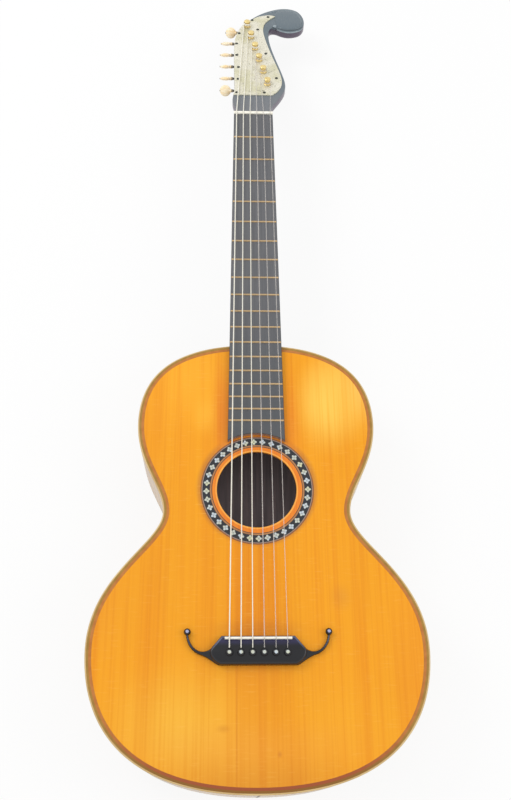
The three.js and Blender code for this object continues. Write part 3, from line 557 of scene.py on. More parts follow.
class Stock:
    """The finishes, each named for its material and for how it was worked, or for the light or shade painted
    on it.
    """

    # Amber shellac over spruce: warm orange that glows, with fine upright grain, and painted highlights and
    # shade among its patches.
    top = ShellacSpruce("Spruce_shellacked", "soundboard_spruce", "f8a514", 0.36, specular=0.3,
        stains_and_light=STAINS_AND_LIGHT)
    # The ring of spruce inside the rosette, stained a redder orange, with its lip painted paler as a
    # highlight.
    hole_ring = StripedWood("Spruce_orange_stained", "soundboard_spruce", "f08c28", 0.34, dark="e57c26",
        fibre_mm=(1.6, 60, 60), specular=0.3)
    hole_lip_highlight = StripedWood("Spruce_lip_worn", "soundboard_spruce", "fdb24e", 0.34, dark="f6a240",
        fibre_mm=(1.6, 60, 60), specular=0.3)
    # Bare planed spruce inside the box, browned by two centuries of dust.
    inside = StripedWood("Spruce_planed_aged", "inner_spruce", "8a745c", 0.85, dark="735f4a",
        fibre_mm=(60, 1.6, 1.6), specular=0.2)
    # Inner face of the back and ribs: maple gone dark, with long upright streaks.
    inside_maple = StripedWood("Maple_inside_aged", "maple", "a8989a", 0.85, dark="857c80",
        fibre_mm=(5, 90, 60), specular=0.2)
    # Varnished flamed maple: olive gold with soft bands across the fibres.
    maple = StripedWood("Maple_flamed_varnished", "maple", "b98f4c", 0.3, dark="a67c3c", coat=0.3,
        fibre_mm=(1.4, 70, 40), figure_mm=(60, 8, 300), figure_colour="c9a260")
    # A strip of light wood round the edge of the plates.
    holly = StripedWood("Holly_strip_varnished", "holly", "d9bd86", 0.4, dark="c4a268", fibre_mm=(30, 30, 1))
    # Two brown stained bands inside the edge: olive outside, reddish inside, browner at the foot.
    band_olive = StripedWood("Walnut_band_shellacked", "dark_band", "ac833c", 0.38, dark="9a7532",
        fibre_mm=(7, 7, 1), specular=0.3, foot_colour="8a5e24")
    band_red = StripedWood("Pear_band_stained", "dark_band", "c27d3e", 0.38, dark="b36e32",
        fibre_mm=(7, 7, 1), specular=0.3, foot_colour="9c4f2c")
    # Thin inlaid lines: brown black, and satin rather than glossy.
    band_line = Finish("Ebony_line_inlaid", "dark_band", "5a3a26", 0.4)
    # Pear wood stained black and polished: its face is painted hazy slate as a sheen, lighter grey towards
    # the nut, and its sides are plum brown.
    head_wood_sheen = StripedWood("Pear_black_stained_worn", "black_wood", "626f76", 0.34, dark="5a6872", coat=0.2,
        fibre_mm=(1.2, 40, 1.2), foot_colour="73767b", foot_span=(70, 12))
    head_side = StripedWood("Pear_black_stained_side", "black_wood", "62566a", 0.32, dark="544a58", coat=0.3,
        fibre_mm=(1.2, 40, 1.2))
    # The scroll's bead, rim and eye boss are painted pale as a highlight, and the cove and the eye's pit dark
    # as painted shade.
    head_bead_highlight = StripedWood("Pear_bead_polished", "black_wood", "93a1a6", 0.25, dark="84929a", coat=0.4,
        fibre_mm=(1.2, 20, 1.2))
    head_cove_shade = StripedWood("Pear_cove_black", "black_wood", "3a4850", 0.4, dark="303c44",
        fibre_mm=(1.2, 20, 1.2))
    # The neck's black is deep and shiny from the hand.
    neck_wood = StripedWood("Pear_black_stained", "black_wood", "3a3b40", 0.32, dark="2c2d31", coat=0.4,
        fibre_mm=(1.2, 50, 1.2))
    # Polished ebony: near black and glossy; its bevelled edges are painted with a bluish sheen that fades to
    # black towards the back.
    bridge_wood = StripedWood("Ebony_polished", "black_wood", "12131a", 0.26, dark="0c0c12", coat=0.15,
        fibre_mm=(30, 1.0, 1.0), specular=0.4)
    bridge_edge = StripedWood("Ebony_edge_rubbed", "black_wood", "56607c", 0.3, dark="454d66",
        fibre_mm=(30, 1.0, 1.0), foot_colour="14151b", foot_span=(-624, -634))
    # The deck is painted with an indigo reflection behind the saddle, which fades to black further back.
    bridge_deck_reflection = StripedWood("Ebony_deck_polished", "black_wood", "2b2950", 0.26, dark="242240",
        fibre_mm=(30, 1.0, 1.0), specular=0.4, foot_colour="0e0f15",
        foot_span=(-624, -629.5))
    # Ebony rubbed dull by fingers: mid grey with faint fibres, with its sides painted darker as shade.
    ebony = StripedWood("Ebony_oiled_worn", "ebony", "68696c", 0.5, dark="5c5d61", fibre_mm=(0.9, 70, 0.9),
        foot_colour="515458", foot_span=(-220, -420))
    ebony_side_shade = StripedWood("Ebony_oiled_side", "ebony", "42423f", 0.45, dark="363635",
        fibre_mm=(0.9, 70, 0.9))
    # End face of the board, faced in a plain brown.
    ebony_end = StripedWood("Ebony_sapwood_end", "ebony", "a8836e", 0.45, dark="92705e",
        fibre_mm=(0.9, 9, 9))
    # The rosette's ground and lines: set mastic black and smooth, the woods brown and satin.
    mastic = Finish("Mastic_black_set", "rosette_inlay", "20232a", 0.3)
    rosewood = StripedWood("Rosewood_ring_inlaid", "rosette_inlay", "a06a3c", 0.36, dark="86563a",
        fibre_mm=(5, 5, 1))
    copper_line = StripedWood("Pear_line_copper", "rosette_inlay", "b8824f", 0.36, dark="a06e46",
        fibre_mm=(5, 5, 1))
    pale_line = Finish("Holly_line_inlaid", "rosette_inlay", "a99a92", 0.4)
    # Polished shell: silver that turns green or gold; the blue pearl eyes on the bridge's ball tips also
    # paint the balls' highlight.
    pearl = Pearl("Pearl_shell_polished", "rosette_inlay", "c6cabe", 0.22)
    pearl_eye_highlight = Pearl("Pearl_eye_blue", "rosette_inlay", "a4a8cc", 0.2, cool="b6bad8", warm="9ca0c8")
    # Cream white bone, sawn and polished.
    bone_white = StripedWood("Bone_polished_white", "ivory", "fffdf4", 0.32, dark="fbf5e2", ior=1.54,
        fibre_mm=(6, 6, 1))
    bone_cream = StripedWood("Bone_turned_cream", "bone", "fff6dc", 0.3, dark="fad79a", ior=1.54,
        fibre_mm=(9, 3, 3))
    # Nickel silver gone warm and dull, with its cut leaves a little darker.
    plate = EngravedPlate("Nickel_silver_engraved", "nickel", "e9e5d4", 0.42, metallic=0.4)
    # Turned brass shines yellow; drawn brass, rubbed by the strings, is browner.
    brass = WorkedMetal("Brass_turned", "brass", "efd99a", 0.34, metallic=1.0, tarnish="b9924e")
    fret_brass = WorkedMetal("Brass_fret_drawn", "ebony", "c2a67e", 0.36, metallic=0.6, tarnish="97805c",
        mark_mm=(0.3, 6, 6), tarnish_from=0.6)
    # Steel, blued or browned by heat: dark, with soft light along the turned edges.
    steel = WorkedMetal("Steel_blued", "dark_steel", "4a4a50", 0.35, metallic=1.0, tarnish="2a2625")
    ferrule = WorkedMetal("Steel_ferrule_browned", "dark_steel", "8c8270", 0.4, metallic=0.3,
        tarnish="6a6252")
    screw = WorkedMetal("Steel_screw_blued", "nickel", "4c4f4a", 0.4, metallic=0.8, tarnish="33312c")
    # Silver white, with a fine shade between the turns.
    wound = WoundWire("Silk_wire_wound", "wound_string", "fffbec", 0.35)
    # Plain gut: half clear, so what lies behind shows through.
    gut = Finish("Gut_plain_clear", "gut_string", "e8e2dc", 0.2, alpha=0.4)


@dataclass
class Shape:
    """Points and faces of one piece, in bench millimetres."""

    points: list[Vector] = field(default_factory=list)
    faces: list[tuple[int, ...]] = field(default_factory=list)
    finishes: list[int] = field(default_factory=list)
    flats: set[int] = field(default_factory=set)

    def add(self, points: Sequence[Vector], faces: Iterable[Sequence[int]], finish: int = 0,
            flat: bool = False) -> "Shape":
        """Adds faces over new points.

        Args:
            points: The new points.
            faces: Corner numbers, counted within the new points.
            finish: Number of the finish in the piece's list.
            flat: True for faces that keep a flat shade.

        Returns:
            The shape.
        """
        start = len(self.points)
        self.points.extend(Vector(p) for p in points)
        for face in faces:
            if flat:
                self.flats.add(len(self.faces))
            self.faces.append(tuple(start + i for i in face))
            self.finishes.append(finish)
        return self

    def join(self, other: "Shape") -> "Shape":
        """Adds another shape, in the piece's first finish and with smooth faces."""
        return self.add(other.points, other.faces)

    def loft(self, rings: Sequence[Sequence[Vector]], finish: int = 0, round_on: bool = False) -> "Shape":
        """Skins a run of closed rings; a ring of one point is a tip.

        Args:
            rings: Rings of equal length or of one point.
            finish: Number of the finish.
            round_on: True where the last ring joins the first.

        Returns:
            The shape.
        """
        starts = [0]
        for ring in rings:
            starts.append(starts[-1] + len(ring))
        pairs = list(zip(range(len(rings) - 1), range(1, len(rings))))
        if round_on:
            pairs.append((len(rings) - 1, 0))
        faces = []
        for low, high in pairs:
            count = max(len(rings[low]), len(rings[high]))
            for i in range(count):
                j = (i + 1) % count
                corners = (low, i), (low, j), (high, j), (high, i)
                faces.append(tuple(dict.fromkeys(starts[k] + n % len(rings[k]) for k, n in corners)))
        return self.add([p for ring in rings for p in ring], faces, finish)

    def cap(self, rings: Sequence[Sequence[Vector]], up: bool, finish: int = 0) -> "Shape":
        """Fills a flat outline with holes by triangles.

        Args:
            rings: The outline, then its holes.
            up: True for faces that look up.
            finish: Number of the finish.

        Returns:
            The shape.
        """
        points = [p for ring in rings for p in ring]
        faces = []
        for a, b, c in tessellate_polygon([list(ring) for ring in rings]):
            rises = (points[b] - points[a]).cross(points[c] - points[a]).z > 0
            faces.append((a, b, c) if rises == up else (a, c, b))
        return self.add(points, faces, finish, flat=True)

    def slab(self, outline: Outline, layers: Sequence[Pair], holes: Sequence[Outline] = (), finish: int = 0,
             top_finish: int | None = None, bands: Sequence[int] = ()) -> "Shape":
        """Builds a plate from an outline.

        Args:
            outline: Counter-clockwise outline.
            layers: How far the outline is set in, and the height, from the foot up.
            holes: Outlines of holes that go right through.
            finish: Number of the finish.
            top_finish: Number of the top face's finish, where it differs.
            bands: Numbers of the finishes of the side's bands, from the foot up, where they differ.

        Returns:
            The shape.
        """
        rings = [raised(inset(outline, distance), z) for distance, z in layers]
        for k, (low, high) in enumerate(zip(rings, rings[1:])):
            self.loft([low, high], bands[k] if bands else finish)
        foot, crown = layers[0][1], layers[-1][1]
        for hole in holes:
            self.loft([raised(hole, crown), raised(hole, foot)], finish)
        self.cap([rings[0], *(raised(hole, foot) for hole in holes)], False, finish)
        top = finish if top_finish is None else top_finish
        return self.cap([rings[-1], *(raised(hole, crown) for hole in holes)], True, top)

    def hoop(self, outline: Outline, profile: Sequence[Pair], finish: int = 0) -> "Shape":
        """Sweeps a closed profile of (inset, height) round an outline."""
        return self.loft([raised(inset(outline, d), z) for d, z in profile], finish, round_on=True)

    def lathe(self, profile: Sequence[Pair], steps: int, move: Matrix, finish: int = 0) -> "Shape":
        """Turns a profile round z, then moves it.

        Args:
            profile: Radius and height, from the foot up.
            steps: How many corners the circle has.
            move: Where the turned shape goes.
            finish: Number of the finish.

        Returns:
            The shape.
        """
        rings = []
        for radius, z in profile:
            count = 1 if radius == 0 else steps
            rings.append([move @ (circle_point(radius, i / steps) + Vector((0, 0, z))) for i in range(count)])
        return self.loft(rings, finish)

    def tube(self, path: Sequence[Vector], radius: Callable[[float], float], sides: int) -> "Shape":
        """Runs a round bar along a path, with flat ends.

        Args:
            path: The middle of the bar.
            radius: Gives the radius at a share of the path.
            sides: How many sides the bar has.

        Returns:
            The shape.
        """
        side = (path[1] - path[0]).normalized().orthogonal().normalized()
        rings = [[path[0]]]
        for k, point in enumerate(path):
            before, after = path[max(k - 1, 0)], path[min(k + 1, len(path) - 1)]
            way = (after - before).normalized()
            side = (side - way * side.dot(way)).normalized()
            across = way.cross(side)
            reach = radius(k / (len(path) - 1))
            rings.append([point + (side * math.cos(a) + across * math.sin(a)) * reach
                          for a in angles(1, sides)[:-1]])
        return self.loft([*rings, [path[-1]]])

    def moved(self, move: Matrix) -> "Shape":
        """Moves all points."""
        self.points = [move @ p for p in self.points]
        return self

    def mesh(self, name: str, zone: Zone) -> bpy.types.Mesh:
        """Gives the shape as a mesh in the model's frame.

        Args:
            name: The mesh's name.
            zone: The frame of the shape's points.

        Returns:
            The mesh, with points that lie on each other made one and every face outwards.
        """
        move = BENCH.matrix(zone)
        mesh = bpy.data.meshes.new(name)
        mesh.from_pydata([move @ p for p in self.points], [], self.faces)
        for polygon, finish in zip(mesh.polygons, self.finishes):
            polygon.material_index = finish
            polygon.use_smooth = polygon.index not in self.flats
        welded = bmesh.new()
        welded.from_mesh(mesh)
        bmesh.ops.remove_doubles(welded, verts=welded.verts, dist=1e-6)
        bmesh.ops.recalc_face_normals(welded, faces=welded.faces)
        welded.to_mesh(mesh)
        welded.free()
        return mesh

    def build(self, name: str, finishes: Sequence[Finish], zone: Zone = Zone.BODY, body: str = "guitar",
              replaces: Sequence[str] = (), sharp: float = 40, cutters: Sequence["Shape"] = ()) -> None:
        """Makes the piece and fastens it to its body.

        Args:
            name: The piece's name.
            finishes: Its finishes.
            zone: The frame of its points.
            body: The body that it rides on.
            replaces: CAD nodes that it stands for.
            sharp: Angle in degrees from which an edge stays crisp.
            cutters: Shapes that are cut out of it.
        """
        piece = put_in_scene(name, self.mesh(name, zone))
        for finish in finishes:
            piece.data.materials.append(finish.material())
        for cutter in cutters:
            cut_away(piece, cutter.mesh("cutter", zone))
        piece.data.set_sharp_from_angle(angle=math.radians(sharp))
        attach(piece, body)
        if replaces:
            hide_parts(*replaces)


def cut_away(piece: bpy.types.Object, mesh: bpy.types.Mesh) -> None:
    """Cuts a mesh out of a piece; the cut faces take the piece's first finish.

    Args:
        piece: The piece, which keeps the result.
        mesh: The mesh that is cut out.
    """
    mesh.materials.append(piece.data.materials[0])
    tool = put_in_scene("cutter", mesh)
    cut = piece.modifiers.new("cut", "BOOLEAN")
    cut.operation, cut.solver, cut.object = "DIFFERENCE", "MANIFOLD", tool
    bpy.context.view_layer.update()
    made = bpy.data.meshes.new_from_object(piece.evaluated_get(bpy.context.evaluated_depsgraph_get()))
    piece.modifiers.clear()
    piece.data = made
    bpy.data.objects.remove(tool)


def clamp(value: float) -> float:
    """Keeps a value between 0 and 1."""
    return min(max(value, 0), 1)


def angles(share: float, steps: int) -> list[float]:
    """Gives the angles from 0 to a share of a full turn, in even steps, with both ends."""
    return [math.tau * share * k / steps for k in range(steps + 1)]


def circle_point(radius: float, share: float) -> Vector:
    """Gives the point at a share of a full turn."""
    return Vector((radius * math.cos(math.tau * share), radius * math.sin(math.tau * share), 0))


def circle(radius: float, x: float, y: float, steps: int) -> Outline:
    """Gives a counter-clockwise circle round a middle."""
    return [circle_point(radius, i / steps) + Vector((x, y, 0)) for i in range(steps)]


def box_outline(left: float, right: float, low: float, high: float) -> Outline:
    """Gives a counter-clockwise oblong."""
    return [Vector((x, y, 0)) for x, y in ((left, low), (right, low), (right, high), (left, high))]


def raised(outline: Outline, z: float) -> Outline:
    """Gives a flat outline at a height."""
    return [Vector((p.x, p.y, z)) for p in outline]


def mirrored(line: Outline) -> Outline:
    """Joins a line on the treble side with its mirror image, counter-clockwise."""
    return list(reversed(line + [Vector((-p.x, p.y, 0)) for p in reversed(line) if p.x > 0]))


def inset(outline: Outline, distance: float) -> Outline:
    """Moves a counter-clockwise outline inwards.

    Args:
        outline: The outline.
        distance: How far it moves, square to itself.

    Returns:
        The outline with as many points.
    """
    if distance == 0:
        return outline
    moved, count = [], len(outline)
    for i, point in enumerate(outline):
        arrive = (point - outline[i - 1]).normalized()
        leave = (outline[(i + 1) % count] - point).normalized()
        along = (arrive + leave).normalized()
        # A sharp corner moves no more than about three times the distance.
        reach = distance / max(along.dot(arrive), 0.3)
        moved.append(Vector((point.x - along.y * reach, point.y + along.x * reach, point.z)))
    return moved


def smooth_line(points: Sequence[Pair], steps: int, scale: float = 1.0) -> Outline:
    """Runs a smooth line through points, with the same curve as the solids have.

    Args:
        points: The points.
        steps: How many pieces each stretch has.
        scale: The size of one unit of the points, in millimetres.

    Returns:
        The line.
    """
    knots = [Vector((x * scale, y * scale, 0)) for x, y in points]
    line = []
    for i in range(len(knots) - 1):
        a, b, c, d = knots[max(i - 1, 0)], knots[i], knots[i + 1], knots[min(i + 2, len(knots) - 1)]
        out, back = (c - a) * 0.5, (d - b) * 0.5
        cubic, square = b * 2 - c * 2 + out + back, c * 3 - b * 3 - out * 2 - back
        line.extend(cubic * t**3 + square * t**2 + out * t + b for t in (k / steps for k in range(steps)))
    return [*line, knots[-1]]


def round_over(foot: float, crown: float, radius: float, steps: int) -> list[Pair]:
    """Gives the layers of a plate whose upper edge is rounded."""
    return [(0, foot), *((radius * (1 - math.cos(a)), crown - radius * (1 - math.sin(a)))
                         for a in angles(0.25, steps))]


def spread(count: int, width: float) -> list[float]:
    """Gives places across the guitar, from bass to treble."""
    return [width * (i / (count - 1) - 0.5) for i in range(count)]


def bar_along_x(profile: Sequence[Pair], xs: Sequence[float],
                lower: Callable[[float], float] | None = None) -> Shape:
    """Runs a closed profile across the guitar.

    Args:
        profile: Places of (y, z).
        xs: Where the bar has a section.
        lower: Gives how much the top 1.2 mm is lowered at each place.

    Returns:
        The bar, closed at both ends.
    """
    crest = max(z for _, z in profile) - 1.2
    rings = []
    for x in xs:
        drop = lower(x) if lower else 0
        rings.append([Vector((x, y, z if z < crest else z - drop)) for y, z in profile])
    middle = sum((Vector((0, y, z)) for y, z in profile), Vector()) / len(profile)
    first, last = ([middle + Vector((x, 0, 0))] for x in (xs[0], xs[-1]))
    return Shape().loft([first, *rings, last])


@dataclass
class SoundBox:
    """Soundboard, back, ribs and the strips round their edges."""

    top_line: float = -311.0
    length: float = 445.7
    depth: float = 80.0
    widths: Triple = (243.4, 186.2, 322.8)
    drops: Triple = (90.9, 186.1, 319.4)
    # Reach of the outline's eight handles, as shares of the half width or of the drop beside them.
    handles: tuple[float, ...] = (0.686, 0.641, 0.476, 0.278, 0.239, 0.539, 0.398, 0.854)
    hole_line: float = -473.4
    hole_radius: float = 40.0
    board: float = 2.5
    back: float = 2.8
    rib: float = 2.2
    edge: float = 1.2
    edge_round: float = 0.8
    # The bands lie between these two distances from the outline.
    band_start: float = 1.5
    band_end: float = 6.3
    band_depth: float = 1.2
    joint: float = 1.4
    line: Outline = field(init=False)

    def __post_init__(self) -> None:
        """Draws the outline that all the pieces of the box share."""
        self.line = self.outline()

    @property
    def foot_line(self) -> float:
        """Gives the place of the body's foot."""
        return self.top_line - self.length

    def outline(self, steps: int = 40) -> Outline:
        """Gives the body's outline, counter-clockwise.

        Args:
            steps: How many pieces each of its four curves has.

        Returns:
            The outline.
        """
        (upper, waist, lower), top, foot = (w / 2 for w in self.widths), self.top_line, self.foot_line
        y1, y2, y3 = (top - drop for drop in self.drops)
        a, b, c, d = top - y1, y1 - y2, y2 - y3, y3 - foot
        h = self.handles
        curves = [
            ((0, top), (h[0] * upper, top), (upper, y1 + h[1] * a), (upper, y1)),
            ((upper, y1), (upper, y1 - h[2] * b), (waist, y2 + h[3] * b), (waist, y2)),
            ((waist, y2), (waist, y2 - h[4] * c), (lower, y3 + h[5] * c), (lower, y3)),
            ((lower, y3), (lower, y3 - h[6] * d), (h[7] * lower, foot), (0, foot)),
        ]
        right: Outline = []
        for knots in curves:
            right.extend(interpolate_bezier(*(Vector((x, y, 0)) for x, y in knots), steps + 1)[:-1])
        return mirrored([*right, Vector((0, foot, 0))])

    def build(self) -> None:
        """Builds the box and dresses what stays of the solids inside it."""
        self.build_board()
        self.build_strips()
        self.build_bands()
        self.build_ribs()
        self.build_back()
        self.build_end_strip()
        self.dress_inside()

    def build_board(self) -> None:
        """Builds the soundboard with its hole and with a rebate for the bands."""
        foot, rebate = -self.board, -self.band_depth - 0.1
        lap, start = self.band_end + 1, self.band_start
        hole = circle(self.hole_radius, 0, self.hole_line, 96)
        board = Shape().slab(inset(self.line, self.band_end + 0.05), [(0, foot), (0, 0)], [hole])
        board.hoop(self.line, [(lap, foot), (lap, rebate), (start, rebate), (start, foot)])
        board.build("soundboard_top", [Stock.top], replaces=["soundboard_bass", "soundboard_treble"])

    def build_strips(self) -> None:
        """Builds the pale strips with rounded edges round the soundboard and the back."""
        reach, turn, foot = self.edge + 0.25, self.edge_round, -self.depth
        bend = 0.3 * turn
        top = [(reach, 0), (turn, 0), (bend, -bend), (0, -turn), (0, -self.board), (reach, -self.board)]
        back = [(reach, foot + self.back), (0, foot + self.back), (0, foot + turn), (bend, foot + bend),
                (turn, foot), (reach, foot)]
        for side, profile in (("top", top), ("back", back)):
            strip = Shape().hoop(self.line, profile)
            strip.build(f"edge_strip_{side}", [Stock.holly], replaces=[f"{side}_binding"])

    def build_bands(self) -> None:
        """Builds the two brown bands."""
        middle = (self.band_start + self.band_end) / 2 - 0.3
        foot, crown = -self.band_depth, 0.01
        bands = Shape()
        for finish, (left, right) in enumerate(((self.band_start, middle - APART),
                                                (middle + APART, self.band_end + 2 * APART))):
            bands.hoop(self.line, [(right, foot), (right, crown), (left, crown), (left, foot)], finish)
        bands.build("edge_band", [Stock.band_olive, Stock.band_red], replaces=["top_purfling"])

    def build_ribs(self) -> None:
        """Builds the bent ribs as one wall."""
        low, high = self.back - self.depth, -self.board
        inside = inset(self.line, self.rib)
        ribs = Shape().loft([raised(self.line, low), raised(self.line, high)])
        ribs.loft([raised(self.line, high), raised(inside, high), raised(inside, low),
                   raised(self.line, low)], 1)
        ribs.build("ribs", [Stock.maple, Stock.inside_maple], replaces=["ribs_bass", "ribs_treble"])

    def build_back(self) -> None:
        """Builds the back of two matched halves with a dark line between them."""
        foot, half = -self.depth, self.joint / 2
        plate = Shape().slab(inset(self.line, self.band_start - 0.05), [(0, foot), (0, foot + self.back)],
                             top_finish=2)
        line = box_outline(-half, half, self.foot_line + 2, self.top_line - 2)
        plate.slab(line, [(0, foot - 0.04), (0, foot + 0.3)], finish=1)
        plate.build("back_plate", [Stock.maple, Stock.band_line, Stock.inside_maple],
                           replaces=["back"])

    def build_end_strip(self) -> None:
        """Lays the dark strip over the joint of the ribs at the foot of the body."""
        middle = Vector((0, self.foot_line, 0))
        beside = sorted((p for p in self.line if 0 < abs(p.x) < 15 and p.y < self.foot_line + 5),
                        key=lambda p: p.x)
        near = [middle.lerp(beside[0], 0.1), middle, middle.lerp(beside[-1], 0.1)]
        face = [p - Vector((0, 0.06, 0)) for p in near]
        behind = [p + Vector((0, 0.3, 0)) for p in reversed(near)]
        strip = Shape().slab([*face, *behind], [(0, self.back - self.depth + 0.3), (0, -self.board - 0.3)])
        strip.build("end_strip", [Stock.band_line], sharp=30)

    def dress_inside(self) -> None:
        """Gives the bare spruce to the linings, blocks, braces and bridge plate."""
        for name, node in frame["nodes"].items():
            if any(word in name for word in ("lining", "block", "brace", "bridge_plate")):
                node.data.materials.clear()
                node.data.materials.append(Stock.inside.material())


@dataclass
class Rosette:
    """Pearl crosses in black mastic, between rings of stained wood."""

    box: SoundBox
    lip: float = 41.6
    # Inner radius, outer radius and finish of each ring outside the lip.
    rings: tuple[tuple[float, float, int], ...] = (
        (41.6, 47.3, 1), (45.2, 45.9, 2), (45.9, 47.4, 3), (47.4, 54.9, 4), (54.9, 55.4, 5),
        (55.4, 56.5, 6), (56.5, 56.8, 2),
    )
    depth: float = 1.2
    # The pearl ring sits a little off the hole's centre, as hand work does.
    off_centre: Pair = (0.5, -0.3)
    # On the upper right the crosses were set a little wider apart.
    wide_crosses: int = 8
    wide_step: float = math.radians(10.45)
    close_crosses: int = 28
    cross_radius: float = 50.9
    # One of the four blunt petals of a cross, with a saw cut between it and the next.
    petal: tuple[Pair, ...] = ((0.16, 0), (1.52, -1.36), (2.7, -0.75), (3.2, 0), (2.7, 0.75), (1.52, 1.36))

    def build(self) -> None:
        """Builds the rings and the crosses."""
        self.build_rings()
        self.build_crosses()

    def build_rings(self) -> None:
        """Builds the ring of spruce round the hole and the inlaid rings."""
        inlay = Shape()
        for low, high, finish in ((self.box.hole_radius, self.lip, 0), *self.rings):
            x, y, crown = (*self.off_centre, 0.03) if finish > 1 else (0, 0, 0.01)
            foot = -self.depth if finish else -2 * self.depth
            wide = high - low - 2 * APART
            inlay.hoop(circle(high - APART, x, self.box.hole_line + y, 144),
                       [(0, foot), (wide, foot), (wide, crown), (0, crown)], finish)
        # The first finish, on the lip, is painted paler as a highlight.
        finishes = [Stock.hole_lip_highlight, Stock.hole_ring, Stock.band_line, Stock.copper_line, Stock.mastic,
                    Stock.pale_line, Stock.rosewood]
        inlay.build("rosette_rings", finishes, replaces=["rosette"], sharp=30)

    def build_crosses(self) -> None:
        """Builds the pearl crosses, petal by petal."""
        x, y = self.off_centre
        middle = Matrix.Translation((x, self.box.hole_line + y, 0))
        reach = Matrix.Translation((self.cross_radius, 0, 0))
        pearl = Shape()
        for angle in self.cross_angles():
            for quarter in angles(1, 4)[:-1]:
                spin = middle @ Matrix.Rotation(angle, 4, "Z") @ reach @ Matrix.Rotation(quarter, 4, "Z")
                pearl.slab([spin @ Vector((*corner, 0)) for corner in self.petal], [(0, -0.4), (0, 0.05)])
        pearl.build("rosette_crosses", [Stock.pearl])

    def cross_angles(self) -> list[float]:
        """Gives the angle of each cross.

        Returns:
            The angles, the wide steps first.
        """
        start = self.wide_step * self.wide_crosses
        step = (math.tau - start) / self.close_crosses
        return [self.wide_step * k for k in range(self.wide_crosses)] + [
            start + step * k for k in range(self.close_crosses)]


